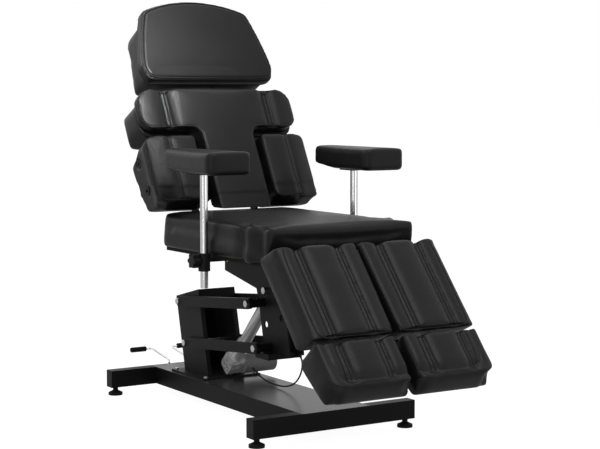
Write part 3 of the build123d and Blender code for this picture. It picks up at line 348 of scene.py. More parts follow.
@dataclass(frozen=True)
class Metal:
    """Bare or plated metal."""

    name: str
    colour: Colour
    dark: Colour
    roughness: tuple[float, float]
    texture: float
    bump: float
    depth: float
    metallic: float = 1.0
    clouds: Noise = Noise(34.0, 5.0, 0.6)
    cloud_edges: tuple[float, float] = (0.3, 0.7)
    patches: Noise = Noise(48.0, 4.0)
    fineness: tuple[float, float] = (4.0, 0.6)

    def build(self) -> bpy.types.Material:
        """Make the material."""
        nodes = NodeTree(self.name)
        clouds = nodes.spread(nodes.noise(self.clouds), 0.0, 1.0, *self.cloud_edges)
        nodes.drive(Socket.COLOUR, nodes.blend(clouds, self.dark, self.colour))
        nodes.set(Socket.METALLIC, self.metallic)
        nodes.drive(Socket.ROUGHNESS, nodes.spread(nodes.noise(self.patches), *self.roughness))
        skin = Relief(Noise(self.texture, *self.fineness), self.bump, self.depth)
        nodes.drive(Socket.NORMAL, nodes.relief(skin))
        return nodes.material


@dataclass(frozen=True)
class BasePaint:
    """Black powder coat whose wide beam has a smoother top, coloured paler as a painted reflection
    of the bright room.
    """

    name: str = "base powder coat"
    shade: Colour = (0.008, 0.008, 0.0085)
    # top: the beam top's paler colour is a painted reflection of the bright room in its gloss.
    top: Colour = (0.070, 0.070, 0.072)
    half_width: float = 0.1245
    top_height: float = 0.0878
    roughness: tuple[float, float] = (0.44, 0.23)
    patches: Noise = Noise(70.0, 4.0)
    speckle: tuple[float, float] = (-0.03, 0.05)
    peel: Relief = Relief(Noise(420.0), 0.07, 0.0003)
    specular: float = 0.11

    def build(self) -> bpy.types.Material:
        """Make the material."""
        nodes = NodeTree(self.name)
        split = nodes.add("ShaderNodeSeparateXYZ")
        nodes.link(nodes.coords, split.inputs[0])
        across = nodes.math("ABSOLUTE", split.outputs["X"])
        inside = nodes.math("LESS_THAN", across, self.half_width)
        high = nodes.math("GREATER_THAN", split.outputs["Z"], self.top_height)
        painted_sheen_mask = nodes.math("MULTIPLY", inside, high)
        # Painted reflection: the beam's top takes the paler colour.
        nodes.drive(Socket.COLOUR, nodes.blend(painted_sheen_mask, self.shade, self.top))
        smooth = nodes.spread(painted_sheen_mask, *self.roughness)
        speckle = nodes.spread(nodes.noise(self.patches), *self.speckle)
        nodes.drive(Socket.ROUGHNESS, nodes.math("ADD", smooth, speckle))
        nodes.drive(Socket.NORMAL, nodes.relief(self.peel))
        nodes.set(Socket.SPECULAR, self.specular)
        return nodes.material


class Finishes:
    """Every finish of the chair, built once."""

    def __init__(self) -> None:
        """Build the materials."""
        self.leather = Leather().build()
        self.base = BasePaint().build()
        self.paint = Coating(
            "black powder coat", shade=(0.012, 0.012, 0.0125), light=(0.018, 0.018, 0.0185),
            roughness=(0.36, 0.48), texture=900.0,
        ).build()
        self.plastic = Coating(
            "black moulded plastic", shade=(0.012, 0.012, 0.013), light=(0.020, 0.020, 0.021),
            roughness=(0.34, 0.46), texture=1200.0,
        ).build()
        self.rubber = Coating(
            "black rubber", shade=(0.010, 0.010, 0.010), light=(0.020, 0.020, 0.020),
            roughness=(0.55, 0.7), texture=800.0, bump=0.2,
        ).build()
        self.board = Coating(
            "black stained board", shade=(0.012, 0.011, 0.010), light=(0.022, 0.020, 0.018),
            roughness=(0.6, 0.75), texture=300.0, bump=0.2,
        ).build()
        self.thread = Coating(
            "black sewing thread", shade=(0.014, 0.014, 0.0145), light=(0.026, 0.026, 0.0265),
            roughness=(0.65, 0.8), texture=2600.0, bump=0.3,
        ).build()
        self.motor = Coating(
            "grey motor paint", shade=(0.32, 0.32, 0.325), light=(0.46, 0.46, 0.465),
            roughness=(0.38, 0.5), texture=700.0, bump=0.15,
        ).build()
        self.chrome = Metal(
            "polished chrome", colour=(0.90, 0.90, 0.91), dark=(0.82, 0.82, 0.83),
            roughness=(0.09, 0.12), texture=300.0, bump=0.004, depth=0.0001,
        ).build()
        self.zinc = Metal(
            "zinc-plated steel", colour=(0.72, 0.72, 0.73), dark=(0.50, 0.50, 0.52),
            roughness=(0.22, 0.38), texture=900.0, bump=0.12, depth=0.0003,
        ).build()
        self.alloy = Metal(
            "cast alloy", colour=(0.99, 0.99, 1.0), dark=(0.70, 0.70, 0.71),
            roughness=(0.30, 0.45), texture=70.0, bump=1.0, depth=0.016, metallic=0.25,
        ).build()
        self.tube = Metal(
            "satin aluminium tube", colour=(0.99, 0.99, 1.0), dark=(0.94, 0.94, 0.95),
            roughness=(0.28, 0.36), texture=1500.0, bump=0.06, depth=0.0002, metallic=0.3,
        ).build()

    def dress(self, node: str, material: bpy.types.Material) -> None:
        """Give a CAD node a finish.

        Args:
            node: the node's name.
            material: its finish.
        """
        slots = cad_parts[node].data.materials
        slots.clear()
        slots.append(material)


def placed(name: str, data: bpy.types.ID) -> bpy.types.Object:
    """Put a new object in the scene.

    Args:
        name: its name.
        data: its mesh, curve, lamp or camera.

    Returns:
        The object, at the origin.
    """
    obj = bpy.data.objects.new(name, data)
    bpy.context.scene.collection.objects.link(obj)
    return obj


def mesh_object(name: str, vertices: list, faces: list, material: bpy.types.Material,
                smooth: bool = True) -> bpy.types.Object:
    """New mesh object at the origin.

    Args:
        name: the piece's name.
        vertices: points in metres.
        faces: vertex numbers of each face.
        material: its finish.
        smooth: whether faces are shaded smooth.

    Returns:
        The object.
    """
    mesh = bpy.data.meshes.new(name)
    mesh.from_pydata([tuple(v) for v in vertices], [], faces)
    mesh.materials.append(material)
    mesh.polygons.foreach_set("use_smooth", [smooth] * len(mesh.polygons))
    mesh.update()
    return placed(name, mesh)


def evaluated_mesh(obj: bpy.types.Object, name: str) -> bpy.types.Mesh:
    """The mesh an object has once its modifiers are applied.

    Args:
        obj: the object.
        name: the new mesh's name.

    Returns:
        The plain mesh.
    """
    graph = bpy.context.evaluated_depsgraph_get()
    mesh = bpy.data.meshes.new_from_object(obj.evaluated_get(graph))
    mesh.name = name
    return mesh


def bake(obj: bpy.types.Object) -> bpy.types.Object:
    """Apply an object's modifiers to its mesh."""
    mesh = evaluated_mesh(obj, obj.name)
    obj.modifiers.clear()
    obj.data = mesh
    return obj


def coordinates(mesh: bpy.types.Mesh) -> np.ndarray:
    """Vertex places as an array."""
    flat = np.zeros(len(mesh.vertices) * 3)
    mesh.vertices.foreach_get("co", flat)
    return flat.reshape(-1, 3)


def normals(mesh: bpy.types.Mesh) -> np.ndarray:
    """Vertex normals as an array."""
    flat = np.zeros(len(mesh.vertices) * 3)
    mesh.vertices.foreach_get("normal", flat)
    return flat.reshape(-1, 3)


def write_coordinates(mesh: bpy.types.Mesh, points: np.ndarray) -> None:
    """Put vertex places back."""
    mesh.vertices.foreach_set("co", points.ravel())
    mesh.update()


def distance_to_path(points: np.ndarray, path: list[Vector]) -> np.ndarray:
    """Shortest distance from each point to a polyline.

    Args:
        points: places of the vertices.
        path: the polyline's points.

    Returns:
        One distance for each point.
    """
    best = np.full(len(points), np.inf)
    for start, end in zip(path, path[1:]):
        a = np.array(start)
        run = np.array(end) - a
        share = np.clip((points - a) @ run / (run @ run), 0.0, 1.0)
        gap = np.linalg.norm(points - a - share[:, None] * run, axis=1)
        best = np.minimum(best, gap)
    return best


CORNER_CUT = 0.25


def soften_corners(path: list[Vector], rounds: int, closed: bool) -> list[Vector]:
    """Cut a polyline's corners until it is smooth.

    Args:
        path: the polyline.
        rounds: how many times corners are cut.
        closed: whether it is a ring.

    Returns:
        The smoothed points.
    """
    for _ in range(rounds):
        ends = list(zip(path, path[1:] + path[:1])) if closed else list(zip(path, path[1:]))
        smooth = [] if closed else [path[0]]
        for start, end in ends:
            smooth += [start.lerp(end, CORNER_CUT), start.lerp(end, 1.0 - CORNER_CUT)]
        if not closed:
            smooth.append(path[-1])
        path = smooth
    return path


def even_points(path: list[Vector], pitch: float) -> list[Vector]:
    """Points at an even pitch along a polyline.

    Args:
        path: the polyline.
        pitch: distance between points.

    Returns:
        The resampled points.
    """
    lengths = [0.0]
    for start, end in zip(path, path[1:]):
        lengths.append(lengths[-1] + (end - start).length)
    count = max(2, round(lengths[-1] / pitch) + 1)
    points = []
    leg = 0
    for i in range(count):
        target = lengths[-1] * i / (count - 1)
        while leg < len(path) - 2 and lengths[leg + 1] < target:
            leg += 1
        span = lengths[leg + 1] - lengths[leg]
        share = (target - lengths[leg]) / span if span else 0.0
        points.append(path[leg].lerp(path[leg + 1], share))
    return points


LAID_CUTS = 2
LAID_ROUNDS = 3


def laid_on(path: list[Vector], surface: BVHTree, stand: float, closed: bool = False,
            pitch: float = 0.004) -> list[Vector]:
    """A path laid on a surface.

    Args:
        path: rough path near the surface.
        surface: the surface's tree.
        stand: height above it.
        closed: whether the path is a ring.
        pitch: distance between points.

    Returns:
        Points on the surface.
    """
    smooth = soften_corners(path, LAID_CUTS, closed)
    points = even_points(smooth + smooth[:1] if closed else smooth, pitch)
    if closed:
        points = points[:-1]
    laid = []
    for point in points:
        spot, normal, _, _ = surface.find_nearest(point)
        laid.append(spot + normal * stand)
    for _ in range(LAID_ROUNDS):
        before = [laid[-1] if closed else laid[0]] + laid[:-1]
        after = laid[1:] + [laid[0] if closed else laid[-1]]
        laid = [(a + 2 * b + c) / 4 for a, b, c in zip(before, laid, after)]
    return laid


NEARLY_ALONG = 1e-4


def tube_along(name: str, path: list[Vector], radius: float, material: bpy.types.Material,
               closed: bool = False, sides: int = 10) -> bpy.types.Object:
    """Round tube swept along a path.

    Args:
        name: the piece's name.
        path: the points.
        radius: the tube's radius.
        material: its finish.
        closed: whether the tube is a ring.
        sides: faces round the tube.

    Returns:
        The mesh object.
    """
    vertices = []
    faces = []
    count = len(path)
    side = Vector((0.0, 0.0, 1.0))
    for i, point in enumerate(path):
        before = path[i - 1] if i or closed else path[0]
        after = path[(i + 1) % count] if i < count - 1 or closed else path[-1]
        tangent = (after - before).normalized()
        side = side - tangent * side.dot(tangent)
        if side.length < NEARLY_ALONG:
            side = tangent.orthogonal()
        side.normalize()
        other = tangent.cross(side)
        for j in range(sides):
            turn = 2 * math.pi * j / sides
            vertices.append(point + (side * math.cos(turn) + other * math.sin(turn)) * radius)
    rings = count if closed else count - 1
    for i in range(rings):
        for j in range(sides):
            a = i * sides + j
            b = i * sides + (j + 1) % sides
            c = ((i + 1) % count) * sides + (j + 1) % sides
            d = ((i + 1) % count) * sides + j
            faces.append((a, b, c, d))
    if not closed:
        faces.append(tuple(reversed(range(sides))))
        faces.append(tuple((count - 1) * sides + j for j in range(sides)))
    obj = mesh_object(name, vertices, faces, material)
    tidy_normals(obj)
    return obj


def tidy_normals(obj: bpy.types.Object) -> None:
    """Make a closed mesh's faces point outwards."""
    work = bmesh.new()
    work.from_mesh(obj.data)
    bmesh.ops.recalc_face_normals(work, faces=work.faces)
    work.to_mesh(obj.data)
    work.free()
    obj.data.update()


def joined(name: str, pieces: list[bpy.types.Object]) -> bpy.types.Object:
    """Join several mesh objects into one.

    Args:
        name: the new piece's name.
        pieces: objects to join, which are removed.

    Returns:
        The joined object.
    """
    work = bmesh.new()
    for piece in pieces:
        work.from_mesh(piece.data)
    mesh = bpy.data.meshes.new(name)
    work.to_mesh(mesh)
    work.free()
    mesh.materials.append(pieces[0].data.materials[0])
    mesh.update()
    for piece in pieces:
        bpy.data.objects.remove(piece)
    return placed(name, mesh)


class StitchTool:
    """Geometry Nodes tree that lays stitches along a path."""

    def __init__(self, thread: bpy.types.Material) -> None:
        """Build the tree.

        Args:
            thread: the thread's finish.
        """
        self.tree = bpy.data.node_groups.new("Stitches", "GeometryNodeTree")
        sockets = self.tree.interface
        sockets.new_socket("Geometry", in_out="INPUT", socket_type="NodeSocketGeometry")
        self.pitch = sockets.new_socket("Pitch", in_out="INPUT", socket_type="NodeSocketFloat")
        self.length = sockets.new_socket("Length", in_out="INPUT", socket_type="NodeSocketFloat")
        self.width = sockets.new_socket("Width", in_out="INPUT", socket_type="NodeSocketFloat")
        sockets.new_socket("Geometry", in_out="OUTPUT", socket_type="NodeSocketGeometry")
        wiring = Wiring(self.tree)
        start = wiring.add("NodeGroupInput")
        end = wiring.add("NodeGroupOutput")
        curve = wiring.add("GeometryNodeMeshToCurve")
        sample = wiring.add("GeometryNodeResampleCurve", mode="LENGTH")
        grain = wiring.add("GeometryNodeMeshUVSphere", Segments=6, Rings=4, Radius=0.5)
        tangent = wiring.add("GeometryNodeInputTangent")
        turn = wiring.add("FunctionNodeAlignRotationToVector", axis="Z")
        size = wiring.add("ShaderNodeCombineXYZ")
        place = wiring.add("GeometryNodeInstanceOnPoints")
        real = wiring.add("GeometryNodeRealizeInstances")
        paint = wiring.add("GeometryNodeSetMaterial", Material=thread)
        for source, output, target, entry in (
            (start, "Geometry", curve, "Mesh"), (curve, "Curve", sample, "Curve"),
            (start, "Pitch", sample, "Length"), (tangent, "Tangent", turn, "Vector"),
            (start, "Width", size, "X"), (start, "Width", size, "Y"),
            (start, "Length", size, "Z"), (sample, "Curve", place, "Points"),
            (grain, "Mesh", place, "Instance"), (turn, "Rotation", place, "Rotation"),
            (size, "Vector", place, "Scale"), (place, "Instances", real, "Geometry"),
            (real, "Geometry", paint, "Geometry"), (paint, "Geometry", end, "Geometry"),
        ):
            wiring.link(source.outputs[output], target.inputs[entry])

    def sew(self, name: str, paths: list[list[Vector]], pitch: float = 0.0062,
            length: float = 0.0044, width: float = 0.0010) -> bpy.types.Object:
        """Lay one row of stitches along each path.

        Args:
            name: the piece's name.
            paths: rows, as points on the surface.
            pitch: distance between stitches.
            length: length of a stitch.
            width: thickness of the thread.

        Returns:
            One mesh with all the stitches.
        """
        vertices = []
        edges = []
        for path in paths:
            first = len(vertices)
            vertices += [tuple(point) for point in path]
            edges += [(first + i, first + i + 1) for i in range(len(path) - 1)]
        mesh = bpy.data.meshes.new(name)
        mesh.from_pydata(vertices, edges, [])
        obj = placed(name, mesh)
        modifier = obj.modifiers.new("Stitches", "NODES")
        modifier.node_group = self.tree
        modifier[self.pitch.identifier] = pitch
        modifier[self.length.identifier] = length
        modifier[self.width.identifier] = width
        bake(obj)
        obj.data.polygons.foreach_set("use_smooth", [True] * len(obj.data.polygons))
        return obj


# How squarely, as a cosine, a face has to lie under a seam to be drawn in by it.
FACING_START = 0.05
FACING_SPAN = 0.35


@dataclass
class Line:
    """A sewn line on a cover: a narrow crease in a broad valley.

    The drop points into the cushion, and a negative valley is a swelling.
    """

    path: list[Vector]
    drop: Vector
    crease: float = 0.0035
    crease_width: float = 0.0040
    valley: float = 0.0
    valley_width: float = 0.016
    stitched: bool = False
    pinned: bool = True

    def gap(self, points: np.ndarray) -> np.ndarray:
        """Distance from the line, seen along its drop."""
        drop = np.array(self.drop)
        flat = points - np.outer(points @ drop, drop)
        path = [point - self.drop * point.dot(self.drop) for point in self.path]
        return distance_to_path(flat, path)

    def depth(self, points: np.ndarray, outward: np.ndarray) -> np.ndarray:
        """How deep the cover is drawn in at each point.

        Args:
            points: places of the vertices.
            outward: their normals.

        Returns:
            One depth for each point.
        """
        gap = self.gap(points)
        square = -(outward @ np.array(self.drop))
        facing = np.clip((square - FACING_START) / FACING_SPAN, 0.0, 1.0)
        crease = self.crease * np.exp(-((gap / self.crease_width) ** 2))
        valley = self.valley * np.exp(-((gap / self.valley_width) ** 2))
        return (crease + valley) * facing


TINY = 1e-6
FADE_SHARE = 0.6


@dataclass
class RoundCorner:
    """A large soft corner in a plane of two directions, faded out along a third."""

    corner: Vector
    first: Vector
    second: Vector
    radius: float
    fade: Vector | None = None
    reach: float = 0.05

    def soften(self, points: np.ndarray) -> np.ndarray:
        """Draw places outside the round corner back onto it.

        Args:
            points: places of the vertices.

        Returns:
            The places, drawn in.
        """
        first, second = np.array(self.first), np.array(self.second)
        centre = np.array(self.corner) - self.radius * (first + second)
        a = (points - centre) @ first
        b = (points - centre) @ second
        length = np.hypot(a, b)
        outside = (a > 0) & (b > 0) & (length > self.radius)
        share = np.where(outside, 1.0 - self.radius / np.maximum(length, TINY), 0.0)
        if self.fade is not None:
            deep = (points - np.array(self.corner)) @ np.array(self.fade)
            share *= np.clip((self.reach - deep) / (FADE_SHARE * self.reach), 0.0, 1.0)
        return points - (share * a)[:, None] * first - (share * b)[:, None] * second


@dataclass
class Welt:
    """Piping laid on a cover's edge."""

    path: list[Vector]
    radius: float = 0.0026
    closed: bool = False
    groove: float = 0.0015


@dataclass(frozen=True)
class CoverCloth:
    """How the leather stretches and bends over its foam."""

    quality: int = 5
    mass: float = 0.3
    tension: float = 12.0
    shear: float = 6.0
    bending: float = 3.0

    def put_on(self, obj: bpy.types.Object, pressure: float, frames: int) -> None:
        """Add the cloth to a cover.

        Args:
            obj: the cover, whose held vertices stay where they are.
            pressure: how hard the foam pushes.
            frames: how many frames it runs.
        """
        cloth = obj.modifiers.new("Cover", "CLOTH")
        settings = cloth.settings
        settings.quality = self.quality
        settings.mass = self.mass
        settings.tension_stiffness = self.tension
        settings.compression_stiffness = self.tension
        settings.shear_stiffness = self.shear
        settings.bending_stiffness = self.bending
        settings.use_pressure = True
        settings.uniform_pressure_force = pressure
        settings.effector_weights.gravity = 0.0
        settings.vertex_group_mass = "held"
        cloth.collision_settings.use_collision = False
        cloth.point_cache.frame_start = 1
        cloth.point_cache.frame_end = frames


# How a cover is cut: distances in metres, facings as cosines, holds in voxels.
MERGE = 1e-5
FIRST_ROOM = 0.0004
TIGHT_ROOM = -0.001
EARLY_SHARE = 0.5
FLAT_FACING = 0.8
SEAM_FACING = 0.3
SEAM_HOLD = 0.8
WELT_HOLD = 1.3
# How often places are averaged with their neighbours': once cut, the push, once pushed.
CUT_ROUNDS = 2
PUSH_ROUNDS = 4
LAST_ROUNDS = 1
# How it is finished: a welt's groove, and the dimple round an eyelet.
WELT_GROOVE = 0.006
DIMPLE_REACH = 0.024
DIMPLE_SLOPE = 0.0075
DIMPLE_BEHIND = 0.02
DIMPLE_UNDER = 0.0012


@dataclass
class Pad:
    """One upholstered piece and how its cover behaves.

    Attributes:
        name: the cover's name.
        node: the soft solid that it stands for.
        body: the body that it rides on.
        flat_side: the direction of the side that lies on its board.
        lines: its seams.
        welts: its piping.
        corners: its large soft corners.
        side: 1 or -1 where the cover takes only that side of the node, else 0.
        voxel: size of the first mesh.
        rounds: how often the first mesh is smoothed.
        grow: how far it then swells to make up for that.
        room: how far the finished cover may stand off its solid.
        tight_below: height under which it stays inside its solid.
        pressure: how hard the foam pushes.
        cap: how far the push may move a point.
        fill: how full the pad is, from 0 to 1; not used.
        eyelets: middles of its eyelets.
        made: the cover, once cut.
        start: its places before the push.
        edges: its vertex pairs.
    """

    name: str
    node: str
    body: str
    flat_side: Vector
    lines: list[Line] = field(default_factory=list)
    welts: list[Welt] = field(default_factory=list)
    corners: list[RoundCorner] = field(default_factory=list)
    side: int = 0
    voxel: float = 0.006
    rounds: int = 4
    grow: float = 0.003
    room: float = 0.002
    tight_below: float = 0.0
    pressure: float = 3.0
    cap: float = 0.007
    fill: float = 0.85
    eyelets: list[Vector] = field(default_factory=list)
    made: bpy.types.Object | None = None
    start: np.ndarray | None = None
    edges: np.ndarray | None = None

    def cut(self, leather: bpy.types.Material) -> None:
        """Cut the cover's mesh from the space its solid holds.

        Args:
            leather: the cover's finish.
        """
        work = bmesh.new()
        work.from_mesh(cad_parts[self.node].data)
        bmesh.ops.remove_doubles(work, verts=work.verts, dist=MERGE)
        if self.side:
            far = [v for v in work.verts if v.co.x * self.side < 0]
            bmesh.ops.delete(work, geom=far, context="VERTS")
        mesh = bpy.data.meshes.new(self.name)
        work.to_mesh(mesh)
        work.free()
        obj = placed(self.name, mesh)
        remesh = obj.modifiers.new("Remesh", "REMESH")
        remesh.mode = "VOXEL"
        remesh.voxel_size = self.voxel
        bake(obj)
        mesh = obj.data
        mesh.materials.clear()
        mesh.materials.append(leather)
        self.edges = edge_pairs(mesh)
        points = relaxed(coordinates(mesh), self.edges, self.rounds)
        write_coordinates(mesh, points)
        outward = normals(mesh)
        points = self.kept_within(points + outward * self.grow, FIRST_ROOM)
        for corner in self.corners:
            points = corner.soften(points)
        points = relaxed(points, self.edges, CUT_ROUNDS)
        held = outward @ np.array(self.flat_side) > FLAT_FACING
        for line in self.lines:
            points -= outward * (EARLY_SHARE * line.depth(points, outward))[:, None]
            if line.pinned:
                facing = -(outward @ np.array(line.drop)) > SEAM_FACING
                held |= (line.gap(points) < self.voxel * SEAM_HOLD) & facing
        for welt in self.welts:
            ring = welt.path + welt.path[:1] if welt.closed else welt.path
            held |= distance_to_path(points, ring) < self.voxel * WELT_HOLD
        write_coordinates(mesh, points)
        group = obj.vertex_groups.new(name="held")
        group.add([int(i) for i in np.nonzero(held)[0]], 1.0, "REPLACE")
        self.made = obj
        self.start = points

    def kept_within(self, points: np.ndarray, room: float) -> np.ndarray:
        """Bring places back that lie further outside the solid than the room.

        Below the tight height, where the cover meets its neighbour, they stay just inside it.

        Args:
            points: places of the vertices.
            room: how far outside they may lie.

        Returns:
            The places, none further out.
        """
        solid = surface_tree(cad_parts[self.node].data)
        kept = points.copy()
        for i, point in enumerate(points):
            spot, normal, _, _ = solid.find_nearest(Vector(point))
            limit = TIGHT_ROOM if point[2] < self.tight_below else room
            if (Vector(point) - spot).dot(normal) > limit:
                kept[i] = spot + normal * limit
        return kept

    def settle(self) -> None:
        """Keep the puffed shape, no further than the cap from its start."""
        mesh = evaluated_mesh(self.made, self.made.name)
        moved = coordinates(mesh) - self.start
        self.made.modifiers.clear()
        bpy.data.meshes.remove(mesh)
        moved = relaxed(moved, self.edges, PUSH_ROUNDS)
        length = np.linalg.norm(moved, axis=1)
        length[length == 0] = 1.0
        scale = np.minimum(1.0, self.cap / length)
        points = self.kept_within(self.start + moved * scale[:, None], self.room)
        write_coordinates(self.made.data, relaxed(points, self.edges, LAST_ROUNDS))

    def finish(self, sewing: "Sewing") -> None:
        """Subdivide, draw in the seams, sew and pipe them, hide the solid and attach the cover to
        its body.

        Args:
            sewing: the sewing tools.
        """
        obj = self.made
        obj.vertex_groups.clear()
        subdivision = obj.modifiers.new("Subdivision", "SUBSURF")
        subdivision.levels = 1
        subdivision.render_levels = 1
        bake(obj)
        mesh = obj.data
        mesh.polygons.foreach_set("use_smooth", [True] * len(mesh.polygons))
        points = coordinates(mesh)
        outward = normals(mesh)
        sink = np.zeros(len(points))
        for line in self.lines:
            sink += line.depth(points, outward)
        laid = []
        surface = surface_tree(mesh)
        for welt in self.welts:
            path = laid_on(welt.path, surface, 0.0, welt.closed)
            laid.append(path)
            ring = path + path[:1] if welt.closed else path
            gap = distance_to_path(points, ring)
            sink += welt.groove * np.exp(-((gap / WELT_GROOVE) ** 2))
        points = points - outward * sink[:, None]
        for eyelet in self.eyelets:
            side = math.copysign(1.0, eyelet.x)
            gap = np.linalg.norm((points - np.array(eyelet))[:, 1:], axis=1)
            out = points[:, 0] * side
            share = np.clip((DIMPLE_REACH - gap) / DIMPLE_SLOPE, 0.0, 1.0)
            share *= out > abs(eyelet.x) - DIMPLE_BEHIND
            drop = np.maximum(0.0, out - (abs(eyelet.x) - DIMPLE_UNDER))
            points[:, 0] -= side * drop * share * share * (3.0 - 2.0 * share)
        write_coordinates(mesh, points)
        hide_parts(self.node)
        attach(obj, self.body)
        sewing.trim(self, laid)


def surface_tree(mesh: bpy.types.Mesh) -> BVHTree:
    """Search tree of a mesh's surface."""
    return BVHTree.FromPolygons(
        [v.co.copy() for v in mesh.vertices], [tuple(p.vertices) for p in mesh.polygons]
    )


def edge_pairs(mesh: bpy.types.Mesh) -> np.ndarray:
    """Vertex pairs of a mesh's edges."""
    flat = np.zeros(len(mesh.edges) * 2, dtype=np.int64)
    mesh.edges.foreach_get("vertices", flat)
    return flat.reshape(-1, 2)


def relaxed(values: np.ndarray, edges: np.ndarray, rounds: int) -> np.ndarray:
    """Average values with their neighbours' along a mesh's edges.

    Args:
        values: one row for each vertex.
        edges: vertex pairs.
        rounds: how many times.

    Returns:
        The smoothed values.
    """
    first, second = edges[:, 0], edges[:, 1]
    count = np.bincount(edges.ravel(), minlength=len(values)).astype(float)
    count[count == 0] = 1.0
    for _ in range(rounds):
        total = np.zeros_like(values)
        for axis in range(values.shape[1]):
            total[:, axis] += np.bincount(first, values[second, axis], minlength=len(values))
            total[:, axis] += np.bincount(second, values[first, axis], minlength=len(values))
        values = values * 0.5 + total / count[:, None] * 0.5
    return values


THREAD_STAND = 0.0004
WELT_SINK = 0.25


class Sewing:
    """Stitches and piping on the covers."""

    def __init__(self, finishes: Finishes) -> None:
        """Set up the tools.

        Args:
            finishes: the chair's finishes.
        """
        self.finishes = finishes
        self.stitches = StitchTool(finishes.thread)

    def trim(self, pad: Pad, laid: list[list[Vector]]) -> None:
        """Lay a pad's stitches and piping.

        Args:
            pad: the finished pad.
            laid: its welts' paths on the surface.
        """
        surface = surface_tree(pad.made.data)
        rows = [laid_on(line.path, surface, THREAD_STAND) for line in pad.lines if line.stitched]
        if rows:
            sewn = self.stitches.sew(f"{pad.name}_stitches", rows)
            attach(sewn, pad.body)
        pieces = []
        for i, (welt, path) in enumerate(zip(pad.welts, laid)):
            closer = [surface.find_nearest(point)[0].lerp(point, WELT_SINK) for point in path]
            pieces.append(tube_along(
                f"{pad.name}_welt_{i}", closer, welt.radius, self.finishes.leather, welt.closed
            ))
        if pieces:
            piping = joined(f"{pad.name}_piping", pieces)
            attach(piping, pad.body)


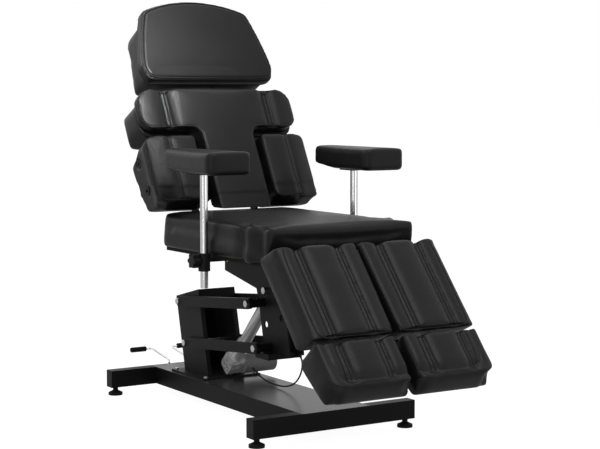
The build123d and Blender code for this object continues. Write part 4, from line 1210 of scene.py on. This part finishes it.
@dataclass
class Upholstery:
    """All the cushions.

    Places on the back and on the legs are distances along the slope. A valley and a crease
    are a depth and a width, and a seat seam is its y, a crease's depth and a valley.
    """

    finishes: Finishes
    frames: int = 16
    cloth: CoverCloth = CoverCloth()
    pads: list[Pad] = field(default_factory=list)
    seat_side: float = 0.271
    seat_front: float = -0.572
    seat_top: float = 0.6705
    seat_crease_width: float = 0.005
    seat_seam_heights: tuple[float, ...] = (0.555, 0.60, 0.65, 0.68)
    seat_seams: tuple[tuple[float, ...], ...] = (
        (-0.378, 0.002, 0.006, 0.026), (-0.430, 0.0, -0.006, 0.026), (-0.486, 0.003, 0.006, 0.024)
    )
    row_step: float = 0.007
    shoulder_seam: float = 0.201
    shoulder_places: tuple[float, ...] = (0.242, 0.29, 0.34, 0.40)
    shoulder_valley: tuple[float, float] = (0.010, 0.026)
    shoulder_crease: tuple[float, float] = (0.0035, 0.004)
    leg_seams: tuple[float, float] = (0.218, 0.075)
    leg_valley: tuple[float, float] = (0.0075, 0.021)
    leg_crease: tuple[float, float] = (0.0038, 0.0034)
    calf_rows: tuple[float, float] = (-0.01, 0.330)
    foot_rows: tuple[float, float] = (0.322, 0.452)
    foot_sides: tuple[float, float] = (0.2905, 0.012)
    foot_end: float = 0.480
    wing_seam: float = 0.229
    wing_seam_places: tuple[float, ...] = (-0.02, 0.05, 0.14, 0.212)
    eyelet_side: float = 0.300
    eyelet_places: tuple[tuple[float, float], ...] = ((0.162, 0.119), (0.056, 0.107))

    def __post_init__(self) -> None:
        """List the pads."""
        self.sewing = Sewing(self.finishes)
        down = Vector((0.0, 0.0, -1.0))
        back = BACK.into()
        self.pads += [
            Pad("seat_cover", "seat_cushion", "carriage", down, self.seat_lines(),
                corners=[self.seat_nose()], voxel=0.008, rounds=9, grow=0.005, room=0.0014),
            Pad("back_cover", "back_cushion", "backrest", back, self.back_lines(),
                self.back_welts(), rounds=8, grow=0.006, room=0.007, tight_below=0.735,
                pressure=7.0, cap=0.009),
            Pad("bolster_cover", "back_bolster", "backrest", -back, voxel=0.008, rounds=6,
                grow=0.010, room=0.005),
            Pad("head_cover", "head_cushion", "headrest", back, self.head_lines(),
                self.head_welts(), rounds=3, grow=0.004, room=0.004),
            Pad("head_rear_cover", "head_rear_cushion", "headrest", -back, voxel=0.007, rounds=5,
                grow=0.008, room=0.005),
        ]
        for name, side in SIDES.items():
            out = Vector((side, 0.0, 0.0))
            self.pads += [
                Pad(f"wing_cover_{name}", "back_wings", "backrest", -out, self.wing_lines(side),
                    self.wing_welts(side), self.wing_corners(side), int(side), rounds=12,
                    grow=0.008, room=0.004, tight_below=0.760, pressure=5.0,
                    eyelets=[BACK.point(side * self.eyelet_side, s, n)
                             for s, n in self.eyelet_places]),
                Pad(f"calf_cover_{name}", f"calf_cushion_{name}", f"leg_{name}", LEG.into(),
                    self.leg_lines(side, *self.calf_rows), self.calf_welts(side), voxel=0.0055,
                    rounds=5, grow=0.005, room=0.0045, pressure=4.0),
                Pad(f"foot_cover_{name}", f"foot_cushion_{name}", f"foot_{name}", LEG.into(),
                    self.foot_lines(side), corners=self.foot_corners(side), voxel=0.0055,
                    rounds=8, grow=0.006, room=0.0045, pressure=4.0),
                Pad(f"armrest_cover_{name}", f"armrest_pad_{name}", f"armrest_pad_{name}", down,
                    voxel=0.005, rounds=6, grow=0.004, room=0.001, pressure=1.0, cap=0.002),
            ]

    def seat_lines(self) -> list[Line]:
        """The seat's side seams near its front corners."""
        rows = []
        for side in SIDES.values():
            inward = Vector((-side, 0.0, 0.0))
            x = side * self.seat_side
            for y, crease, *valley in self.seat_seams:
                path = [Vector((x, BASE_SHIFT + y, z)) for z in self.seat_seam_heights]
                width = self.seat_crease_width
                rows.append(Line(path, inward, crease, width, *valley, pinned=False))
        return rows

    def double_seam(self, plane: SlantedFrame, xs: tuple[float, float, float],
                    places: Sequence[float], valley: tuple[float, float],
                    crease: tuple[float, float]) -> list[Line]:
        """Two stitched rows along the sides of a valley.

        Args:
            plane: the plane that they are sewn on.
            xs: x of the valley and of the two rows.
            places: distances along the slope.
            valley: the valley's depth and width.
            crease: depth and width of each row's crease.

        Returns:
            The three lines.
        """
        paths = [[plane.point(x, s, 0.0) for s in places] for x in xs]
        rows = [Line(path, plane.into(), *crease, stitched=True) for path in paths[1:]]
        broad = Line(paths[0], plane.into(), crease=0.0)
        broad.valley, broad.valley_width = valley
        return [broad, *rows]

    def back_lines(self) -> list[Line]:
        """Double seams across the shoulders."""
        rows = []
        for side in SIDES.values():
            middle = side * self.shoulder_seam
            xs = (middle, middle - self.row_step, middle + self.row_step)
            rows += self.double_seam(
                BACK, xs, self.shoulder_places, self.shoulder_valley, self.shoulder_crease
            )
        return rows

    def back_welts(self) -> list[Welt]:
        """Piping round the T-shaped cushion's face."""
        half, stem, face, sink, bow = 0.298, 0.094, 0.004, 0.028, 0.306
        path = [
            (stem, -0.055), (stem, 0.10), (stem, 0.215), (stem + 0.012, 0.238),
            (stem + 0.036, 0.250), (0.20, 0.250), (half - 0.03, 0.252), (half - 0.008, 0.262),
            (half, 0.285),
        ]
        right = [BACK.point(x, s, face + sink * (x / bow) ** 2) for x, s in path]
        left = [BACK.point(-x, s, face + sink * (x / bow) ** 2) for x, s in path]
        return [Welt(edge, radius=0.0024) for edge in (right, left)]

    def wing_lines(self, side: float) -> list[Line]:
        """Upright seam of one wing.

        Args:
            side: 1 for the left wing, -1 for the right.

        Returns:
            The seam.
        """
        x = side * self.wing_seam
        path = [BACK.point(x, s, n=0.003) for s in self.wing_seam_places]
        return [Line(path, BACK.into(), crease=0.0024, valley=0.003, valley_width=0.014)]

    def wing_welts(self, side: float) -> list[Welt]:
        """Piping along a wing's lower edge and up its outer corner.

        Args:
            side: 1 for the left wing, -1 for the right.

        Returns:
            The welt.
        """
        places = [
            (0.200, -0.022, 0.010), (0.229, -0.022, 0.010), (0.275, -0.020, 0.018),
            (0.300, -0.010, 0.030), (0.312, 0.020, 0.034), (0.313, 0.080, 0.034),
            (0.312, 0.150, 0.034), (0.302, 0.195, 0.036), (0.285, 0.209, 0.034),
        ]
        path = [BACK.point(side * x, s, n) for x, s, n in places]
        return [Welt(path, radius=0.0022, groove=0.0022)]

    def head_lines(self) -> list[Line]:
        """The crease low on the headrest's face."""
        places = ((-0.19, 0.474), (-0.08, 0.482), (0.02, 0.482), (0.09, 0.476))
        path = [BACK.point(x, s, n=0.012) for x, s in places]
        return [Line(path, BACK.into(), crease=0.0005, crease_width=0.006, valley=0.0022,
                     valley_width=0.020, pinned=False)]

    def head_outline(self, inset: float, n: float) -> list[Vector]:
        """Ring round the headrest's front piece.

        Args:
            inset: distance in from its outline.
            n: depth of the ring.

        Returns:
            The ring's points.
        """
        i = inset
        half = [
            (0.0, 0.741 - i), (0.07, 0.736 - i), (0.14, 0.722 - i), (0.196 - i, 0.702 - i),
            (0.212 - i, 0.684), (0.232 - i, 0.620), (0.250 - i, 0.540), (0.258 - i, 0.482),
            (0.252 - i, 0.446 + i), (0.228, 0.430 + i), (0.12, 0.428 + i), (0.0, 0.428 + i),
        ]
        ring = half + [(-x, s) for x, s in reversed(half[1:-1])]
        return [BACK.point(x, s, n) for x, s in ring]

    def head_welts(self) -> list[Welt]:
        """Two rings of piping, front and back of the headrest's boxing."""
        front = self.head_outline(inset=0.007, n=0.014)
        rear = self.head_outline(inset=0.001, n=0.052)
        return [
            Welt(front, radius=0.0030, closed=True, groove=0.0045),
            Welt(rear, radius=0.0028, closed=True, groove=0.0035),
        ]

    def leg_lines(self, side: float, start: float, end: float) -> list[Line]:
        """Two double seams down one leg cushion.

        Args:
            side: 1 for the left leg, -1 for the right.
            start: where they start along the slope.
            end: where they end.

        Returns:
            The lines.
        """
        rows = []
        places = np.linspace(start, end, 6)
        for middle in self.leg_seams:
            steps = (0.0, -self.row_step, self.row_step)
            xs = tuple(side * (middle + step) for step in steps)
            rows += self.double_seam(LEG, xs, places, self.leg_valley, self.leg_crease)
        return rows

    def foot_lines(self, side: float) -> list[Line]:
        """The foot cushion's double seams and the cross seam they run into.

        Args:
            side: 1 for the left leg, -1 for the right.

        Returns:
            The lines.
        """
        rows = self.leg_lines(side, *self.foot_rows)
        places = (
            (0.262, 0.325), (0.260, 0.400), (0.246, 0.445), (0.215, 0.460),
            (0.14, 0.463), (0.06, 0.460), (0.022, 0.455),
        )
        path = [LEG.point(side * x, s, 0.0) for x, s in places]
        rows.append(Line(path, LEG.into(), crease=0.002, crease_width=0.0042, valley=0.003,
                         valley_width=0.018))
        return rows

    def calf_welts(self, side: float) -> list[Welt]:
        """Piping round the calf cushion's face.

        Args:
            side: 1 for the left leg, -1 for the right.

        Returns:
            The welt.
        """
        places = [
            (0.262, 0.006), (0.269, 0.030), (0.269, 0.150), (0.269, 0.290), (0.262, 0.312),
            (0.230, 0.318), (0.120, 0.318), (0.040, 0.318), (0.022, 0.312), (0.018, 0.290),
            (0.014, 0.150), (0.010, 0.020),
        ]
        path = [LEG.point(side * x, s, n=0.012) for x, s in places]
        return [Welt(path, radius=0.0022, groove=0.0012)]

    def foot_corners(self, side: float) -> list[RoundCorner]:
        """Round lower corners of the foot cushion.

        Args:
            side: 1 for the left leg, -1 for the right.

        Returns:
            The corners.
        """
        across = Vector((side, 0.0, 0.0))
        along = (LEG.point(0.0, 1.0, 0.0) - LEG.point(0.0, 0.0, 0.0)).normalized()
        outer = LEG.point(side * self.foot_sides[0], self.foot_end, 0.0)
        inner = LEG.point(side * self.foot_sides[1], self.foot_end, 0.0)
        return [
            RoundCorner(outer, across, along, radius=0.040, fade=LEG.into(), reach=0.09),
            RoundCorner(inner, -across, along, radius=0.020, fade=LEG.into(), reach=0.06),
        ]

    def seat_nose(self) -> RoundCorner:
        """The seat's soft front edge."""
        corner = Vector((0.0, BASE_SHIFT + self.seat_front, self.seat_top))
        return RoundCorner(corner, Vector((0.0, -1.0, 0.0)), Vector((0.0, 0.0, 1.0)), radius=0.036)

    def wing_corners(self, side: float) -> list[RoundCorner]:
        """Round corners of a wing.

        Args:
            side: 1 for the left wing, -1 for the right.

        Returns:
            The corners.
        """
        across = Vector((side, 0.0, 0.0))
        along = (BACK.point(0.0, 1.0, 0.0) - BACK.point(0.0, 0.0, 0.0)).normalized()
        corners = (
            (0.128, -0.030, -across, -along, 0.040, 0.10),
            (0.316, -0.022, across, -along, 0.026, 0.12),
            (0.316, 0.216, across, along, 0.034, 0.16),
            (0.128, 0.216, -across, along, 0.022, 0.10),
        )
        return [
            RoundCorner(BACK.point(side * x, s, 0.0), first, second, radius, BACK.into(), reach)
            for x, s, first, second, radius, reach in corners
        ]

    def build(self) -> None:
        """Cut, puff and finish every pad."""
        for pad in self.pads:
            pad.cut(self.finishes.leather)
        for pad in self.pads:
            self.cloth.put_on(pad.made, pad.pressure, self.frames)
        for number in range(1, self.frames + 1):
            bpy.context.scene.frame_set(number)
        for pad in self.pads:
            pad.settle()
        bpy.context.scene.frame_set(1)
        for pad in self.pads:
            pad.finish(self.sewing)
            LOG.info("pad %s with %d faces", pad.name, len(pad.made.data.polygons))


@dataclass(frozen=True)
class MotorCord:
    """The lift motor's cord, hanging in a loop to the carriage."""

    route: tuple[Place, ...] = (
        (0.044, 0.078, 0.128),
        (0.044, 0.052, 0.118),
        (0.042, 0.012, 0.104),
        (0.040, -0.038, 0.0965),
        (0.038, -0.092, 0.0955),
        (0.038, -0.146, 0.098),
        (0.039, -0.196, 0.112),
        (0.041, -0.233, 0.142),
        (0.043, -0.248, 0.181),
        (0.044, -0.238, 0.213),
        (0.045, -0.212, 0.2145),
    )
    radius: float = 0.0028
    length: float = 0.424
    order: int = 3
    steps: int = 12
    roundness: int = 3

    def build(self, finishes: Finishes) -> None:
        """Hang the cord.

        Args:
            finishes: the chair's finishes.
        """
        curve = bpy.data.curves.new("motor_cord_line", "CURVE")
        curve.dimensions = "3D"
        spline = curve.splines.new("NURBS")
        spline.points.add(len(self.route) - 1)
        for point, (x, y, z) in zip(spline.points, self.route):
            point.co = (x, y + BASE_SHIFT, z, 1.0)
        spline.order_u = self.order
        spline.use_endpoint_u = True
        curve.resolution_u = self.steps
        curve.bevel_depth = self.radius
        curve.bevel_resolution = self.roundness
        curve.materials.append(finishes.plastic)
        obj = placed("motor_cord_line", curve)
        x, y, z = self.route[0]
        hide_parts("motor_cord")
        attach(obj, "base")


@dataclass(frozen=True)
class MetalWork:
    """Finishes of the rigid parts that stay as they are."""

    sharp_edge: float = 32.0

    def build(self, finishes: Finishes) -> None:
        """Dress each rigid node.

        Args:
            finishes: the chair's finishes.
        """
        groups = {
            finishes.base: ["base_frame"],
            finishes.paint: [
                "column", "lower_lift_arms", "upper_lift_arms", "carriage_plates",
                "carriage_top_plate", "carriage_foot_slab", "leg_hinge_bracket", "recline_ears",
                "armrest_clamps", "back_frame", "lever_brackets", "actuator_bracket",
            ],
            finishes.plastic: ["base_end_caps", "carriage_spacers", "wing_eyelets"],
            finishes.zinc: ["column_bolts", "carriage_pins", "head_sleeves"],
            finishes.chrome: ["head_rods"],
            finishes.tube: ["actuator_tube", "actuator_rod"],
            finishes.alloy: ["actuator_gearbox"],
            finishes.motor: ["actuator_motor"],
            finishes.board: ["seat_board", "back_board"],
            finishes.rubber: [],
        }
        paired = {
            finishes.paint: ("calf_frame", "foot_frame", "armrest_plate"),
            finishes.plastic: ("clamp_knob",),
            finishes.chrome: ("armrest_post", "foot_rods", "foot_lever"),
            finishes.rubber: ("lever_grip", "levelling_foot_front", "levelling_foot_rear"),
        }
        for material, nodes in paired.items():
            groups[material] += [f"{node}_{name}" for node in nodes for name in SIDES]
        for material, nodes in groups.items():
            for node in nodes:
                finishes.dress(node, material)
        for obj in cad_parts.values():
            if not obj.hide_render:
                self.soften_edges(obj)
        LOG.info("dressed %d rigid nodes", len(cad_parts))

    def soften_edges(self, obj: bpy.types.Object) -> None:
        """Shade a node smooth below the sharp edge's angle.

        Args:
            obj: the node's object.
        """
        obj.data.shade_smooth()
        obj.data.set_sharp_from_angle(angle=math.radians(self.sharp_edge))


def turned_to(obj: bpy.types.Object, aim: Vector) -> None:
    """Turn a lamp or camera to look along a direction.

    Args:
        obj: the lamp or camera.
        aim: the direction.
    """
    obj.rotation_euler = aim.to_track_quat("-Z", "Y").to_euler()


@dataclass(frozen=True)
class Lamp:
    """A soft rectangular lamp: watts, and how wide its light opens in degrees."""

    name: str
    place: Place
    target: Place
    size: tuple[float, float]
    power: float
    spread: float = 180.0

    def hang(self) -> None:
        """Hang the lamp and turn it to its target."""
        light = bpy.data.lights.new(self.name, "AREA")
        light.shape = "RECTANGLE"
        light.size, light.size_y = self.size
        light.energy = self.power
        light.spread = math.radians(self.spread)
        obj = placed(self.name, light)
        obj.location = self.place
        turned_to(obj, Vector(self.target) - Vector(self.place))


@dataclass(frozen=True)
class Stage:
    """Floor, lamps, world and camera.

    The shares say how much of the white background gloss and clear surfaces see.
    """

    camera_place: Place = (-2.642, -4.502 + BASE_SHIFT, 1.063)
    yaw: float = -32.159
    pitch: float = 4.756
    lens: float = 93.78
    sensor: float = 36.0
    far_clip: float = 100.0
    floor_reach: float = 30.0
    floor_grey: float = 0.38
    shown_grey: float = 0.30
    floor_glow: float = 0.96
    floor_share: float = 0.42
    room_light: float = 0.24
    world_share: float = 0.9
    lamps: tuple[Lamp, ...] = (
        Lamp("key", (-0.5, -1.7, 3.2), (0.0, 0.2, 1.0), (1.3, 1.3), 31.0),
        Lamp("head", (-0.55, -0.75, 2.35), (-0.30, 0.33, 1.36), (0.4, 0.4), 2.6, 24.0),
        Lamp("edge", (-0.95, 0.95, 1.62), (-0.2, 0.4, 1.2), (0.4, 0.4), 1.6, 90.0),
        Lamp("top", (0.3, 0.9, 3.6), (0.0, 0.0, 0.7), (2.4, 2.4), 20.0),
        Lamp("front", (2.2, -3.8, 0.5), (0.0, -0.4, 0.5), (1.6, 0.7), 6.0),
        Lamp("strip", (-3.1, -1.9, 1.1), (0.0, 0.0, 0.9), (0.35, 2.0), 9.0),
    )

    def build(self) -> None:
        """Set the stage."""
        self.floor()
        self.world()
        for lamp in self.lamps:
            lamp.hang()
        self.camera()

    def floor(self) -> None:
        """Plain pale floor that stays nearly white for the camera and keeps the shadow."""
        material = bpy.data.materials.new("pale floor")
        material.use_nodes = True
        material.node_tree.nodes.clear()
        wiring = Wiring(material.node_tree)
        plain = wiring.add("ShaderNodeBsdfDiffuse", Color=(*[self.floor_grey] * 3, 1.0))
        shown = wiring.add("ShaderNodeBsdfDiffuse", Color=(*[self.shown_grey] * 3, 1.0))
        glow = wiring.add("ShaderNodeEmission", Strength=self.floor_glow)
        both = wiring.add("ShaderNodeAddShader")
        wiring.link(shown.outputs[0], both.inputs[0])
        wiring.link(glow.outputs[0], both.inputs[1])
        self.show(wiring, "ShaderNodeOutputMaterial", self.floor_share, plain, both)
        reach = self.floor_reach
        corners = [(x, y, 0.0) for x, y in (
            (-reach, -reach), (reach, -reach), (reach, reach), (-reach, reach)
        )]
        plane = mesh_object("floor", corners, [(0, 1, 2, 3)], material, smooth=False)

    def world(self) -> None:
        """White behind the chair and in its gloss, a soft grey room for the light."""
        world = bpy.data.worlds.new("room")
        bpy.context.scene.world = world
        world.use_nodes = True
        world.node_tree.nodes.clear()
        wiring = Wiring(world.node_tree)
        room, white = (
            wiring.add("ShaderNodeBackground", Color=(1.0, 1.0, 1.0, 1.0), Strength=strength)
            for strength in (self.room_light, 1.0)
        )
        self.show(wiring, "ShaderNodeOutputWorld", self.world_share, room, white)

    def show(self, wiring: Wiring, output: str, share: float, lit: bpy.types.Node,
             seen: bpy.types.Node) -> None:
        """Give the light one shader and the camera another.

        Args:
            wiring: the tree to add to.
            output: type of the output node.
            share: how much of the camera's shader gloss and clear surfaces see.
            lit: the shader for the light.
            seen: the shader for the camera.
        """
        ray = wiring.add("ShaderNodeLightPath")
        factor = ray.outputs["Is Camera Ray"]
        for name in ("Is Glossy Ray", "Is Transmission Ray"):
            part = wiring.math("MULTIPLY", ray.outputs[name], share)
            factor = wiring.math("MAXIMUM", factor, part)
        mix = wiring.add("ShaderNodeMixShader")
        out = wiring.add(output)
        wiring.link(factor, mix.inputs[0])
        wiring.link(lit.outputs[0], mix.inputs[1])
        wiring.link(seen.outputs[0], mix.inputs[2])
        wiring.link(mix.outputs[0], out.inputs["Surface"])

    def camera(self) -> None:
        """The photograph's camera."""
        data = bpy.data.cameras.new("camera")
        data.sensor_fit = "HORIZONTAL"
        data.sensor_width = self.sensor
        data.lens = self.lens
        data.clip_end = self.far_clip
        obj = placed("camera", data)
        yaw = math.radians(self.yaw)
        pitch = math.radians(self.pitch)
        level = math.cos(pitch)
        obj.location = self.camera_place
        turned_to(obj, Vector((-math.sin(yaw) * level, math.cos(yaw) * level, -math.sin(pitch))))
        bpy.context.scene.camera = obj


def main() -> None:
    """Build the chair's looks in order."""
    logging.basicConfig(level=logging.INFO, format="%(message)s")
    bpy.context.scene.view_settings.view_transform = "Standard"
    Stage().build()
    finishes = Finishes()
    MotorCord().build(finishes)
    Upholstery(finishes).build()
    MetalWork().build(finishes)


if __name__ == "__main__":
    main()
